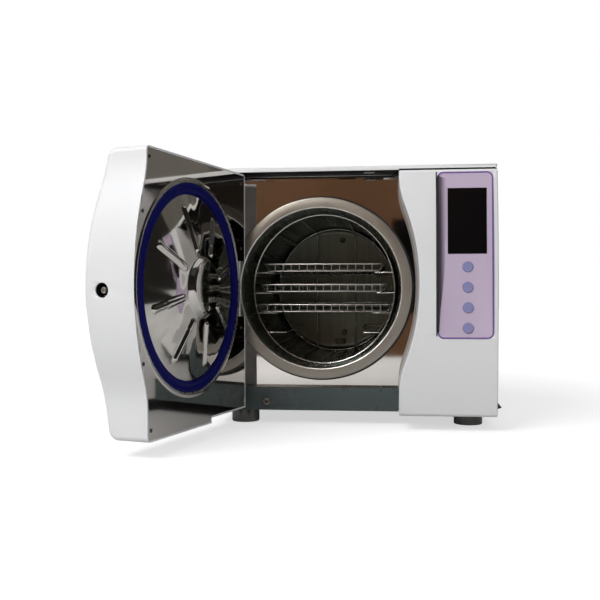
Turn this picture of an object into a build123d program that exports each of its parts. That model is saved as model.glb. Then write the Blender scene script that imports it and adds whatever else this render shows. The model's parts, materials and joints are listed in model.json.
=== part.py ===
from build123d import *
from math import asin, cos, degrees, pi, radians, sin, sqrt
import os

os.makedirs("parts", exist_ok=True)

# A benchtop steam steriliser with its door swung open. Millimetres, +Z up.
# The front faces -Y. The working frame inside this file has its zero at the middle
# of the chamber's mouth; the planes below move it to the middle of the footprint,
# on the floor.

# Chamber
chamber_r = 125.0
chamber_wall = 2.5
chamber_depth = 395.0
knuckle_r = 12.0
weld_bead_r = 1.2
ring_r = 141.9
ring_depth = 22.0
ring_edge_r = 1.5
heater_t = 3.6
heater_w = 60.0
jacket_t = 18.0
jacket_gap = 0.2

# Casing
casing_left = -165.6
casing_right = 264.6
casing_top = 184.8
casing_rear = 560.0
hood_front = -30.0
hood_wall = 2.5
hood_lip_h = 6.6
foot_h = 21.5
foot_r = 22.0
foot_left_x = -124.0
foot_right_x = 229.7
foot_front_y = 33.0
foot_rear_inset = 50.0
foot_recess = 3.0
sheet_t = 2.0
base_bottom = -191.5
base_top = -155.2
base_front = 1.6
mirror_y = 20.3
mirror_t = 1.5
mirror_top = 178.0
seat_gap = 0.1
running_gap = 0.05

# Front line where the door meets the control side
seam_x = 121.4
seam_bulge = 29.5
seam_crown_r = 330.0
seam_flare_r = 130.0
seam_mid_z = 5.0
seam_gap = 3.0
front_mid_y = -72.0
front_bow = 18.1
front_mid_z = -8.5
front_half_h = 200.0
shell_wall = 2.6
front_edge_r = 7.0
crown_edge_r = 14.0
fascia_crown_r = 6.0

# Door
door_top = 173.6
door_bottom = -190.6
rim_y = -1.0
hinge_x = -152.4
hinge_y = -38.4
open_angle = 104.8
gasket_r = 140.7
gasket_lip_y = -0.1
gasket_depth = 7.0
channel_r = 143.4
panel_t = 1.2
panel_inset = 3.4
hub_r = 37.0
hub_y = 20.5
hub_foot = 8.5
dish_depth = 3.0
dome_r = 118.0
dome_bulge = 2.0
disc_t = 2.0
rib_count = 8
rib_w = 8.0
rib_inner = 47.0
rib_outer = 113.0
rib_h = 2.4
rib_turn = 30.0
notch_low = -42.5
notch_high = 41.0
notch_w = 30.0
notch_depth = 7.8
notch_pan_t = 1.2
relief_w = 113.0
relief_h = 7.6
pin_r = 5.0
pin_boss_r = 9.0
lock_z = -3.5
lock_y = -46.0
lock_hole_r = 9.3
lock_hole_depth = 16.0
bolt_r = 6.0
bolt_stroke = 11.0
screw_r = 2.6

# Rack and trays
wire_r = 1.4
rack_half_w = 115.8
rack_half_h = 121.9
rack_mid_z = -1.1
hoop_arcs = 20
rack_front = 69.0
rack_rear_gap = 10.0
stub_len = 33.0
rail_levels = (25.9, -7.5, -40.3, -72.5)
rod_angles = (-47.6, -12.5, 20.8, 47.0)
loop_x = 38.0
bar_w = 1.8
tray_h = 13.5
tray_front = 58.0
tray_rear_gap = 15.0
weld_gap = 0.05
tray_lean = 7.0
tray_rest_gap = 0.1
tray_widths = {"upper": 197.6, "middle": 210.5, "lower": 223.0}
bar_pitch = 13.2

# Control panel, display and buttons
panel_left = 176.8
panel_right = 257.9
panel_low = -74.6
panel_high = 169.8
panel_low_y = -70.2
panel_high_y = -57.9
panel_corner_r = 9.5
panel_rim = 2.2
panel_plate_t = 3.0
display_left = 192.2
display_right = 248.4
display_low = 49.2
display_high = 145.8
display_t = 1.4
button_x = 221.0
button_z = 30.2
button_pitch = 29.75
button_r = 7.7
button_proud = 1.6
button_travel = 1.2
button_gap = 0.25

# Water tank lid on the top
lid_left = 68.5
lid_right = 221.9
lid_front = 12.0
lid_len = 168.0
lid_rise = 6.4
lid_margin = 7.0
mouth_corner_r = 10.0
lid_pin_r = 2.5
lid_knuckle_r = 4.6

# Mains side
rocker_y = -8.0
rocker_z = -173.5
rocker_w = 20.0
rocker_half_h = 9.8
rocker_proud = 8.5
rocker_hole_half_w = 14.8
rocker_hole_half_h = 11.8
rocker_rim = 2.2
rear_proud = 24.0
barb_r = 4.0
barb_len = 18.0
barb_x = 40.0
barb_pitch = 36.0
barb_z = -166.0
drain_x = -85.1
drain_z = -178.4
drain_bore_r = 3.0
drain_r = 8.8
drain_flange_t = 1.2
drain_lip_t = 0.8

# Worked out from the above
floor_z = base_bottom - foot_h
rack_rear = chamber_depth - rack_rear_gap
tray_len = rack_rear - tray_rear_gap - tray_front
vessel_r = chamber_r + chamber_wall
heater_r = vessel_r + heater_t
jacket_in_r = heater_r + jacket_gap
jacket_r = jacket_in_r + jacket_t
jacket_front = ring_depth + seat_gap
jacket_end = chamber_depth + knuckle_r + chamber_wall
hood_right = casing_right + hood_wall
hood_left = casing_left - hood_wall
deck_z = base_bottom + sheet_t
seam_swing = degrees(pi / 2 - asin(1 - seam_bulge / (seam_crown_r + seam_flare_r)))
seam_half = (seam_crown_r + seam_flare_r) * sin(radians(seam_swing))
lock_x = seam_x + seam_bulge

# How far the machine reaches with its door open: this sets the footprint's middle
swing_cos = cos(radians(open_angle))
swing_sin = sin(radians(open_angle))
door_reach = lock_x - seam_gap - hinge_x
rounding = front_edge_r * (swing_sin - swing_cos - 1)
reach_left = hinge_x + door_reach * swing_cos + (front_mid_y - hinge_y) * swing_sin + rounding
reach_right = hood_right + rocker_proud
reach_front = hinge_y - door_reach * swing_sin + (rim_y - hinge_y) * swing_cos
reach_rear = casing_rear + sheet_t + rear_proud
origin_x = -(reach_left + reach_right) / 2
origin_y = -(reach_front + reach_rear) / 2
origin_z = -floor_z


def front_plane(y):
    """An upright plane across the machine; extrusions go towards the front."""
    return Plane(origin=(origin_x, origin_y + y, origin_z), x_dir=(1, 0, 0), z_dir=(0, -1, 0))


def level_plane(z):
    """A level plane; extrusions go up."""
    return Plane(origin=(origin_x, origin_y, origin_z + z), x_dir=(1, 0, 0), z_dir=(0, 0, 1))


def side_plane(x):
    """An upright plane along the machine; extrusions go to the right."""
    return Plane(origin=(origin_x + x, origin_y, origin_z), x_dir=(0, 1, 0), z_dir=(1, 0, 0))


hinge_point = Location((origin_x + hinge_x, origin_y + hinge_y, 0))
swing = hinge_point * Location((0, 0, 0), (0, 0, -open_angle)) * hinge_point.inverse()


def door_front(y):
    """As front_plane, on the closed door, then swung open with it."""
    return Plane(swing * front_plane(y).location)


def door_level(z):
    return Plane(swing * level_plane(z).location)


def door_side(x):
    return Plane(swing * side_plane(x).location)


def box_profile(left, right, low, high):
    """A plain rectangle given by its sides."""
    with BuildSketch() as profile:
        with Locations(((left + right) / 2, (low + high) / 2)):
            Rectangle(right - left, high - low)
    return profile.sketch


def rocker_cutout(gap):
    """The hole for the mains rocker's housing, seen from the right side."""
    half_w = rocker_hole_half_w + gap
    half_h = rocker_hole_half_h + gap
    return box_profile(rocker_y - half_w, rocker_y + half_w, rocker_z - half_h, rocker_z + half_h)


def seam_points(shift):
    """The bulging front seam: a crown arc between two flare arcs, low end first."""
    turn = radians(seam_swing)
    half = radians(seam_swing / 2)
    flare_x = seam_x + shift + seam_flare_r * (1 - cos(turn))
    flare_half_x = seam_x + shift + seam_flare_r * (1 - cos(half))
    join_z = seam_half - seam_flare_r * sin(turn)
    flare_half_z = seam_half - seam_flare_r * sin(half)
    return [
        (seam_x + shift, seam_mid_z - seam_half),
        (flare_half_x, seam_mid_z - flare_half_z),
        (flare_x, seam_mid_z - join_z),
        (seam_x + seam_bulge + shift, seam_mid_z),
        (flare_x, seam_mid_z + join_z),
        (flare_half_x, seam_mid_z + flare_half_z),
        (seam_x + shift, seam_mid_z + seam_half),
    ]


def seam_outline(side_x, low, high, shift, step_x=None, step_z=None):
    """A front outline from a straight side to the bulging seam."""
    p = seam_points(shift)
    with BuildSketch() as outline:
        with BuildLine():
            Line((p[0][0], low), p[0])
            ThreePointArc(p[0], p[1], p[2])
            ThreePointArc(p[2], p[3], p[4])
            ThreePointArc(p[4], p[5], p[6])
            Line(p[6], (p[6][0], high))
            if step_x is None:
                Polyline((p[6][0], high), (side_x, high), (side_x, low), (p[0][0], low))
            else:
                Polyline((p[6][0], high), (side_x, high), (side_x, step_z), (step_x, step_z),
                         (step_x, low), (p[0][0], low))
        make_face()
    return outline.sketch


def bow_profile(back_y, inset, low, high, corner_r=0):
    """The casing's side profile: flat at the back, gently bowed at the front."""
    end_y = front_mid_y + front_bow + inset
    low_z = front_mid_z - front_half_h
    high_z = front_mid_z + front_half_h
    with BuildSketch() as profile:
        with BuildLine():
            ThreePointArc((end_y, low_z), (front_mid_y + inset, front_mid_z), (end_y, high_z))
            Polyline((end_y, high_z), (end_y, high_z + crown_edge_r), (back_y, high_z + crown_edge_r),
                     (back_y, low_z - crown_edge_r), (end_y, low_z - crown_edge_r), (end_y, low_z))
        make_face()
        add(box_profile(end_y - front_bow * 2, back_y, low, high), mode=Mode.INTERSECT)
        if corner_r > 0:
            fillet(profile.vertices().sort_by(Axis.X)[0:2], corner_r)
    return profile.sketch


def write_piece(piece, node):
    """Label one finished piece and write it under its own name."""
    piece.part.label = node
    export_step(piece.part, f"parts/{node}.step")


# Chamber ring: the machined mouth that the gasket closes on
with BuildPart() as chamber_ring:
    with BuildSketch(front_plane(ring_depth)):
        Circle(ring_r)
        Circle(chamber_r, mode=Mode.SUBTRACT)
    extrude(amount=ring_depth)
    mouth_edges = chamber_ring.faces().sort_by(Axis.Y)[0].edges()
    fillet(mouth_edges, ring_edge_r)
write_piece(chamber_ring, "chamber_ring")

# Chamber vessel: a drawn pot with a rounded knuckle and a weld bead inside
with BuildPart() as chamber_vessel:
    with BuildSketch(side_plane(0)):
        with BuildLine():
            end_y = chamber_depth + knuckle_r
            flat_r = chamber_r - knuckle_r
            bend = sqrt(0.5)
            Line((ring_depth, chamber_r), (chamber_depth, chamber_r))
            ThreePointArc((chamber_depth, chamber_r),
                          (chamber_depth + knuckle_r * bend, flat_r + knuckle_r * bend), (end_y, flat_r))
            Polyline((end_y, flat_r), (end_y, 0), (end_y + chamber_wall, 0), (end_y + chamber_wall, flat_r))
            outer_r = knuckle_r + chamber_wall
            ThreePointArc((end_y + chamber_wall, flat_r),
                          (chamber_depth + outer_r * bend, flat_r + outer_r * bend), (chamber_depth, vessel_r))
            Polyline((chamber_depth, vessel_r), (ring_depth, vessel_r), (ring_depth, chamber_r))
        make_face()
    revolve(axis=Axis((origin_x, origin_y, origin_z), (0, 1, 0)))
    with BuildSketch(front_plane(chamber_depth + weld_bead_r)):
        Circle(chamber_r + chamber_wall / 2)
        Circle(chamber_r - weld_bead_r, mode=Mode.SUBTRACT)
    extrude(amount=2 * weld_bead_r)
write_piece(chamber_vessel, "chamber_vessel")

# Fittings on the chamber's end wall: steam nozzle, two probes and the drain strainer
fitting_spots = {"steam": (12.0, 100.0, 5.0), "probe": (15.0, -88.0, 5.5), "vent": (60.0, -76.0, 6.0)}
with BuildPart() as chamber_fittings:
    for x, z, r in fitting_spots.values():
        with BuildSketch(front_plane(end_y)):
            with Locations((x, z)):
                Circle(r)
                Circle(r / 2, mode=Mode.SUBTRACT)
        extrude(amount=8)
    with BuildSketch(front_plane(end_y)):
        with Locations((7.0, -105.5)):
            Rectangle(20, 9)
    extrude(amount=16)
write_piece(chamber_fittings, "chamber_fittings")

# Two band heaters clamped round the vessel
heater_fronts = (chamber_depth * 0.18, chamber_depth * 0.68)
with BuildPart() as band_heaters:
    for heater_y in heater_fronts:
        with BuildSketch(front_plane(heater_y + heater_w)):
            Circle(heater_r)
            Circle(vessel_r + seat_gap, mode=Mode.SUBTRACT)
        extrude(amount=heater_w)
write_piece(band_heaters, "band_heaters")

# Insulating jacket round the heated vessel
with BuildPart() as insulation_jacket:
    with BuildSketch(front_plane(jacket_end)):
        Circle(jacket_r)
        Circle(jacket_in_r, mode=Mode.SUBTRACT)
    extrude(amount=jacket_end - jacket_front)
write_piece(insulation_jacket, "insulation_jacket")

# Two saddles carry the jacketed vessel above the base
saddle_t = 4.0
saddle_ys = (chamber_depth * 0.3, chamber_depth * 0.86)
saddle_half_w = 110.0
saddle_top = -88.0
with BuildPart() as vessel_saddles:
    for saddle_y in saddle_ys:
        with BuildSketch(front_plane(saddle_y + saddle_t)):
            add(box_profile(-saddle_half_w, saddle_half_w, deck_z, saddle_top))
            Circle(jacket_r + seat_gap, mode=Mode.SUBTRACT)
        extrude(amount=saddle_t)
write_piece(vessel_saddles, "vessel_saddles")

# Base chassis: a folded tray with a front wall, low side walls and a flange
flange_y = mirror_y + mirror_t + sheet_t
side_wall_top = -160.0
strip_right = seam_x - 0.4
bay_front = mirror_y + seat_gap
plate_half_w = 11.0
hinge_plate_t = 3.0
with BuildPart() as base_chassis:
    with BuildSketch(level_plane(base_bottom)):
        add(box_profile(casing_left, strip_right, base_front, casing_rear))
        add(box_profile(strip_right, casing_right, bay_front, casing_rear))
    extrude(amount=sheet_t)
    with BuildSketch(side_plane(casing_left)):
        add(box_profile(base_front, base_front + sheet_t, deck_z, base_top))
        add(box_profile(base_front, flange_y, base_top - sheet_t, base_top))
    extrude(amount=strip_right - casing_left)
    with BuildSketch(level_plane(deck_z)):
        add(box_profile(casing_left, casing_left + sheet_t, base_front + sheet_t, casing_rear))
        add(box_profile(casing_right - sheet_t, casing_right, bay_front, casing_rear))
    extrude(amount=side_wall_top - deck_z)
    with BuildSketch(front_plane(base_front + sheet_t)):
        with Locations((drain_x, drain_z)):
            Circle(drain_bore_r + 2.2)
        add(box_profile(hinge_x - plate_half_w - 0.2, hinge_x + plate_half_w + 0.2, deck_z,
                        deck_z + hinge_plate_t + 0.2))
    extrude(amount=sheet_t, mode=Mode.SUBTRACT)
write_piece(base_chassis, "base_chassis")

# Mirror-polished front plate round the chamber's mouth
with BuildPart() as front_plate:
    with BuildSketch(front_plane(mirror_y + mirror_t)):
        add(box_profile(casing_left + 0.5, casing_right - 6, base_top, mirror_top))
        Circle(ring_r + 0.3, mode=Mode.SUBTRACT)
    extrude(amount=mirror_t)
write_piece(front_plate, "front_plate")

# Hood: top and sides in one folded sheet, a thick front lip and the tank mouth
mouth_left = lid_left + lid_margin
mouth_right = lid_right - lid_margin
mouth_front = lid_front + lid_margin
mouth_rear = lid_front + lid_len - 2 * lid_margin - 8
with BuildPart() as hood:
    with BuildSketch(front_plane(casing_rear + sheet_t)):
        add(box_profile(hood_left, hood_right, base_bottom, casing_top))
        add(box_profile(casing_left, casing_right, base_bottom - 1, casing_top - hood_wall), mode=Mode.SUBTRACT)
    extrude(amount=casing_rear + sheet_t - hood_front)
    with BuildSketch(front_plane(hood_front + hood_wall)):
        add(box_profile(casing_left, casing_right, casing_top - hood_lip_h, casing_top - hood_wall))
    extrude(amount=hood_wall)
    with BuildSketch(side_plane(hood_left)):
        add(box_profile(hood_front, 0.5, base_bottom, door_top + 1.5))
    extrude(amount=hood_wall, mode=Mode.SUBTRACT)
    with BuildSketch(level_plane(casing_top - hood_wall)):
        with Locations(((mouth_left + mouth_right) / 2, (mouth_front + mouth_rear) / 2)):
            RectangleRounded(mouth_right - mouth_left, mouth_rear - mouth_front, mouth_corner_r)
    extrude(amount=hood_wall, mode=Mode.SUBTRACT)
    with BuildSketch(side_plane(hood_left)):
        for row in range(7):
            with Locations((470, 100 - 14 * row)):
                SlotOverall(60, 3.4)
    extrude(amount=hood_right - hood_left, mode=Mode.SUBTRACT)
    with BuildSketch(side_plane(casing_right)):
        add(rocker_cutout(seat_gap))
    extrude(amount=hood_wall, mode=Mode.SUBTRACT)
    hood_long_edges = hood.edges().filter_by(Axis.Y).filter_by_position(
        Axis.Z, origin_z + casing_top - 0.01, origin_z + casing_top + 0.01)
    hood_outer_edges = hood_long_edges.sort_by(Axis.X)
    fillet([hood_outer_edges[0], hood_outer_edges[-1]], 2.2)
write_piece(hood, "hood")

# Rear panel with its fan grille and the holes for what passes through it
fan_x = 195.0
fan_z = 100.0
fan_size = 120.0
fan_r = 54.0
inlet_x = 215.0
inlet_z = -150.0
inlet_w = 48.0
inlet_h = 27.0
filter_x = -90.0
filter_z = 0.0
filter_r = 27.0
valve_x = -90.0
valve_z = 100.0
valve_r = 9.0
with BuildPart() as rear_panel:
    with BuildSketch(front_plane(casing_rear + sheet_t)):
        add(box_profile(casing_left + 0.2, casing_right - 0.2, deck_z, casing_top - hood_wall - 0.2))
        for ring in range(7):
            with BuildSketch(mode=Mode.PRIVATE) as slot_ring:
                Circle(14 + 6.4 * ring)
                Circle(14 + 6.4 * ring - 3.2, mode=Mode.SUBTRACT)
                Rectangle(3.6, 130, mode=Mode.SUBTRACT)
                Rectangle(130, 3.6, mode=Mode.SUBTRACT)
            with Locations((fan_x, fan_z)):
                add(slot_ring.sketch, mode=Mode.SUBTRACT)
        add(box_profile(inlet_x - inlet_w / 2, inlet_x + inlet_w / 2, inlet_z - inlet_h / 2,
                        inlet_z + inlet_h / 2), mode=Mode.SUBTRACT)
        with Locations((filter_x, filter_z)):
            Circle(8, mode=Mode.SUBTRACT)
        with Locations((valve_x, valve_z)):
            Circle(valve_r + 0.2, mode=Mode.SUBTRACT)
        for side in (0, 1):
            with Locations((barb_x + side * barb_pitch, barb_z)):
                Circle(5.2, mode=Mode.SUBTRACT)
    extrude(amount=sheet_t)
write_piece(rear_panel, "rear_panel")

# Four round rubber feet with a screw recess below
foot_spots = [(x, y) for x in (foot_left_x, foot_right_x)
              for y in (foot_front_y, casing_rear - foot_rear_inset)]
with BuildPart() as feet:
    with BuildSketch(level_plane(floor_z)):
        with Locations(*foot_spots):
            Circle(foot_r)
    extrude(amount=foot_h)
    fillet(feet.faces().sort_by(Axis.Z)[0:4].edges(), 1.5)
    with BuildSketch(level_plane(floor_z)):
        with Locations(*foot_spots):
            Circle(6)
    extrude(amount=foot_recess, mode=Mode.SUBTRACT)
write_piece(feet, "feet")


# Control fascia: a hollow bowed moulding from the seam to the casing's right side
fascia_back = mirror_y
fascia_low = -190.1
fascia_high = 174.0


def fascia_block(inset, back_y):
    """The fascia's outer form, or its hollow when given the wall as an inset."""
    with BuildPart() as block:
        with BuildSketch(front_plane(back_y)):
            add(seam_outline(casing_right - inset, fascia_low + inset, fascia_high - inset, inset))
        extrude(amount=back_y - front_mid_y + front_bow)
        with BuildSketch(side_plane(seam_x - 5)):
            add(bow_profile(back_y, inset, fascia_low + inset, fascia_high - inset, fascia_crown_r - inset))
        extrude(amount=casing_right - seam_x + 10, mode=Mode.INTERSECT)
    return block


panel_rise = panel_high - panel_low
panel_lean = degrees(asin((panel_high_y - panel_low_y) / panel_rise))
panel_x = (panel_left + panel_right) / 2
panel_z = (panel_low + panel_high) / 2
panel_y = (panel_low_y + panel_high_y) / 2


def panel_plane(depth):
    """The control panel's own flat face, leaning back; depth goes into the machine."""
    face_out = Vector(0, -cos(radians(panel_lean)), sin(radians(panel_lean)))
    middle = Vector(origin_x + panel_x, origin_y + panel_y, origin_z + panel_z)
    return Plane(origin=middle - face_out * depth, x_dir=(1, 0, 0), z_dir=face_out)


panel_w = panel_right - panel_left
panel_h = panel_rise / cos(radians(panel_lean))
fascia_hollow = fascia_block(shell_wall, fascia_back + 1)
with BuildPart() as control_fascia:
    add(fascia_block(0, fascia_back).part)
    front_edges = control_fascia.faces().filter_by(lambda f: f.area > 8000).sort_by(Axis.Y)[0].edges()
    side_edges = front_edges.filter_by(lambda e: abs(e.tangent_at(0.5).Z) > 0.5)
    fillet(side_edges, 2.5)
    add(fascia_hollow.part, mode=Mode.SUBTRACT)
    with BuildSketch(panel_plane(12)):
        RectangleRounded(panel_w + 0.4, panel_h + 0.4, panel_corner_r + 0.2)
    extrude(amount=30, mode=Mode.SUBTRACT)
    with BuildSketch(side_plane(seam_x)):
        with Locations((lock_y, lock_z)):
            Circle(bolt_r + 0.3)
    extrude(amount=50, mode=Mode.SUBTRACT)
    with BuildSketch(side_plane(casing_right - 2 * shell_wall)):
        add(rocker_cutout(seat_gap))
    extrude(amount=3 * shell_wall, mode=Mode.SUBTRACT)
write_piece(control_fascia, "control_fascia")

# Control panel: a tray let into the fascia, its flat face deeper at mid height
with BuildPart() as control_panel:
    with BuildSketch(panel_plane(panel_plate_t)):
        RectangleRounded(panel_w, panel_h, panel_corner_r)
    extrude(amount=30)
    with BuildSketch(side_plane(panel_left - 5)):
        add(bow_profile(0, -0.4, panel_low - 20, panel_high + 20))
    extrude(amount=panel_w + 10, mode=Mode.INTERSECT)
    with BuildSketch(panel_plane(0)):
        RectangleRounded(panel_w - 2 * panel_rim, panel_h - 2 * panel_rim, panel_corner_r - panel_rim)
    extrude(amount=30, mode=Mode.SUBTRACT)
    with BuildSketch(panel_plane(display_t)):
        with Locations(((display_left + display_right) / 2 - panel_x, (display_low + display_high) / 2 - panel_z)):
            Rectangle(display_right - display_left + 0.2, display_high - display_low + 0.2)
    extrude(amount=display_t, mode=Mode.SUBTRACT)
    with BuildSketch(panel_plane(panel_plate_t)):
        for step in range(4):
            with Locations((button_x - panel_x, button_z - step * button_pitch - panel_z)):
                Circle(button_r + button_gap)
    extrude(amount=panel_plate_t, mode=Mode.SUBTRACT)
write_piece(control_panel, "control_panel")

with BuildPart() as display_window:
    with BuildSketch(panel_plane(display_t)):
        with Locations(((display_left + display_right) / 2 - panel_x, (display_low + display_high) / 2 - panel_z)):
            Rectangle(display_right - display_left, display_high - display_low)
    extrude(amount=display_t + 0.2)
write_piece(display_window, "display_window")

# Circuit boards behind the panel
with BuildPart() as display_board:
    with BuildSketch(panel_plane(panel_plate_t + 1.6)):
        with Locations((0, (display_low + display_high) / 2 - panel_z)):
            Rectangle(panel_w - 8, display_high - display_low + 16)
    extrude(amount=1.6)
write_piece(display_board, "display_board")

# Four round push buttons, each with a stem behind its cap
stem_r = button_r - 2.4
button_shoulder = 2.2
for step in range(4):
    with BuildPart() as button:
        with BuildSketch(panel_plane(panel_plate_t + 3.4)) as stem:
            with Locations((button_x - panel_x, button_z - step * button_pitch - panel_z)):
                Circle(stem_r)
        extrude(amount=3.4 + panel_plate_t)
        with BuildSketch(panel_plane(button_shoulder)):
            with Locations((button_x - panel_x, button_z - step * button_pitch - panel_z)):
                Circle(button_r)
        extrude(amount=button_shoulder + button_proud)
        fillet(button.faces().sort_by(Axis.Y)[0].edges(), 0.9)
    write_piece(button, f"button_{step + 1}")

# Key board behind the buttons, with clear holes for their travel
keys_mid_z = button_z - 1.5 * button_pitch
with BuildPart() as keypad_board:
    with BuildSketch(panel_plane(panel_plate_t + 3.4 + button_travel + 2.0)):
        with Locations((0, keys_mid_z - panel_z)):
            Rectangle(40, 3 * button_pitch + 18)
    extrude(amount=1.6)
    with BuildSketch(panel_plane(panel_plate_t + 3.4 + button_travel + 0.4)):
        for side in (-1, 1):
            with Locations((side * 17, keys_mid_z - panel_z)):
                Rectangle(4, 3 * button_pitch + 18)
    extrude(amount=3.4 + button_travel + 0.4)
write_piece(keypad_board, "keypad_board")

# Lock: a solenoid body inside the fascia and the bolt that enters the door's edge
lock_body_left = lock_x + 14
lock_body_right = lock_x + 26
with BuildPart() as lock_housing:
    with BuildSketch(side_plane(lock_body_left)):
        add(box_profile(lock_y - 12, mirror_y, lock_z - 14, lock_z + 14))
        with Locations((lock_y, lock_z)):
            Circle(bolt_r + running_gap, mode=Mode.SUBTRACT)
    extrude(amount=lock_body_right - lock_body_left)
write_piece(lock_housing, "lock_housing")

with BuildPart() as lock_bolt:
    with BuildSketch(side_plane(lock_x + seam_gap / 2)):
        with Locations((lock_y, lock_z)):
            Circle(bolt_r)
    extrude(amount=lock_body_right - lock_x - seam_gap / 2)
    chamfer(lock_bolt.faces().sort_by(Axis.X)[0].edges(), 1.5)
write_piece(lock_bolt, "lock_bolt")

# Door switch: a small sensing block behind the mirror plate's right side
with BuildPart() as door_switch:
    with BuildSketch(front_plane(mirror_y)):
        add(box_profile(lock_x + 8, lock_x + 20, 26, 52))
    extrude(amount=22)
write_piece(door_switch, "door_switch")

# Hinge plates: two steel arms from the front frame to the door's turning axis
upper_plate_z = casing_top - hood_lip_h + 0.2 - hinge_plate_t - 0.6
lower_plate_z = deck_z
plate_back = mirror_y
pin_len = 16.0
with BuildPart() as hinge_plates:
    for plate_z in (upper_plate_z, lower_plate_z):
        with BuildSketch(level_plane(plate_z)):
            add(box_profile(hinge_x - plate_half_w, hinge_x + plate_half_w, hinge_y, plate_back))
            with Locations((hinge_x, hinge_y)):
                Circle(plate_half_w)
        extrude(amount=hinge_plate_t)
write_piece(hinge_plates, "hinge_plates")

with BuildPart() as hinge_pins:
    with BuildSketch(level_plane(upper_plate_z - pin_len)):
        with Locations((hinge_x, hinge_y)):
            Circle(pin_r)
    extrude(amount=pin_len)
    with BuildSketch(level_plane(lower_plate_z + hinge_plate_t)):
        with Locations((hinge_x, hinge_y)):
            Circle(pin_r)
    extrude(amount=pin_len)
write_piece(hinge_pins, "hinge_pins")


# Door shell: a bowed hollow moulding with the bulging free edge
def door_block(inset, back_y):
    with BuildPart() as block:
        with BuildSketch(door_front(back_y)):
            add(seam_outline(casing_left + inset, door_bottom + inset, door_top - inset, -seam_gap - inset,
                             casing_left + relief_w + inset, door_bottom + relief_h + inset))
        extrude(amount=back_y - front_mid_y + front_bow)
        with BuildSketch(door_side(casing_left - 5)):
            add(bow_profile(back_y, inset, door_bottom + inset, door_top - inset, crown_edge_r - inset))
        extrude(amount=lock_x - casing_left + 10, mode=Mode.INTERSECT)
    return block


def notch_area(margin):
    """The shallow notch at the hinge side that lets the rack slide past the open door."""
    left = casing_left + shell_wall - 0.2 if margin > 0 else casing_left - 1
    return box_profile(left, casing_left + notch_w, notch_low - margin, notch_high + margin)


door_out = door_front(0).z_dir
door_zero = door_front(0).origin
out_axis = Axis(door_zero, door_out)
lock_cup_r = lock_hole_r + 2.4
lock_cup_in = lock_x - seam_gap - lock_hole_depth - 2.4
door_hollow = door_block(shell_wall, rim_y + 1)
with BuildPart() as door_shell:
    add(door_block(0, rim_y).part)
    door_face = door_shell.faces().filter_by(lambda f: f.area > 50000).sort_by(out_axis)[-1]
    side_edges = door_face.edges().filter_by(lambda e: abs(e.tangent_at(0.5).Z) > 0.5)
    fillet(side_edges, front_edge_r)
    add(door_hollow.part, mode=Mode.SUBTRACT)
    with BuildSketch(door_side(casing_left - 1)):
        add(box_profile(rim_y - notch_depth, rim_y + 1, notch_low, notch_high))
    extrude(amount=shell_wall + 2, mode=Mode.SUBTRACT)
    with BuildSketch(door_front(rim_y - notch_depth)):
        add(notch_area(1.4))
        Circle(channel_r + 0.3, mode=Mode.SUBTRACT)
    extrude(amount=notch_pan_t)
    with BuildSketch(door_front(rim_y - panel_t - 0.2)):
        add(notch_area(1.4))
        add(notch_area(0), mode=Mode.SUBTRACT)
        Circle(channel_r + 0.3, mode=Mode.SUBTRACT)
    extrude(amount=notch_depth - panel_t - 0.2 + notch_pan_t)
    with BuildSketch(door_side(lock_x - seam_gap - 8)):
        with Locations((lock_y, lock_z)):
            Circle(lock_hole_r)
    extrude(amount=12, mode=Mode.SUBTRACT)
    with BuildSketch(door_level(door_top - shell_wall - 1)):
        with Locations((hinge_x, hinge_y)):
            Circle(pin_r + 1)
    extrude(amount=shell_wall + 2, mode=Mode.SUBTRACT)
    with BuildSketch(door_level(door_bottom + relief_h - 1)):
        with Locations((hinge_x, hinge_y)):
            Circle(pin_r + 1)
    extrude(amount=shell_wall + 2, mode=Mode.SUBTRACT)
write_piece(door_shell, "door_shell")

# Mirror-polished inner panel, flush with the door's rim
panel_gap = 0.2
with BuildPart() as door_panel:
    with BuildSketch(door_front(rim_y)):
        edge = shell_wall + panel_gap
        add(seam_outline(casing_left + edge, door_bottom + edge, door_top - edge, -seam_gap - edge,
                         casing_left + relief_w + edge, door_bottom + relief_h + edge))
        add(notch_area(0), mode=Mode.SUBTRACT)
        Circle(channel_r + 0.2, mode=Mode.SUBTRACT)
    extrude(amount=panel_t)
write_piece(door_panel, "door_panel")

# Gasket channel: the metal ring that holds the seal
channel_wall = 2.2
gasket_in_r = chamber_r + 0.4
gasket_back = rim_y - gasket_depth
with BuildPart() as gasket_channel:
    with BuildSketch(door_front(rim_y)):
        Circle(channel_r)
        Circle(gasket_r + 0.2, mode=Mode.SUBTRACT)
    extrude(amount=gasket_depth + channel_wall)
    with BuildSketch(door_front(gasket_back)):
        Circle(channel_r)
        Circle(gasket_in_r, mode=Mode.SUBTRACT)
    extrude(amount=channel_wall)
write_piece(gasket_channel, "gasket_channel")

with BuildPart() as door_gasket:
    with BuildSketch(door_front(gasket_back)):
        Circle(gasket_r)
        Circle(gasket_in_r, mode=Mode.SUBTRACT)
    extrude(amount=gasket_lip_y - gasket_back, dir=-door_out)
    fillet(door_gasket.faces().sort_by(out_axis)[0].edges(), 1.0)
write_piece(door_gasket, "door_gasket")

# Pressure disc: domed steel with a flat hub in the middle and pressed radial ribs
dish_y = rim_y - dish_depth
disc_r = gasket_in_r - 0.3
beam_front = gasket_back - channel_wall
dome_mid_y = (dish_y + hub_y - hub_foot) / 2 + dome_bulge
dome_mid_r = (dome_r + hub_r) / 2


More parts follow.
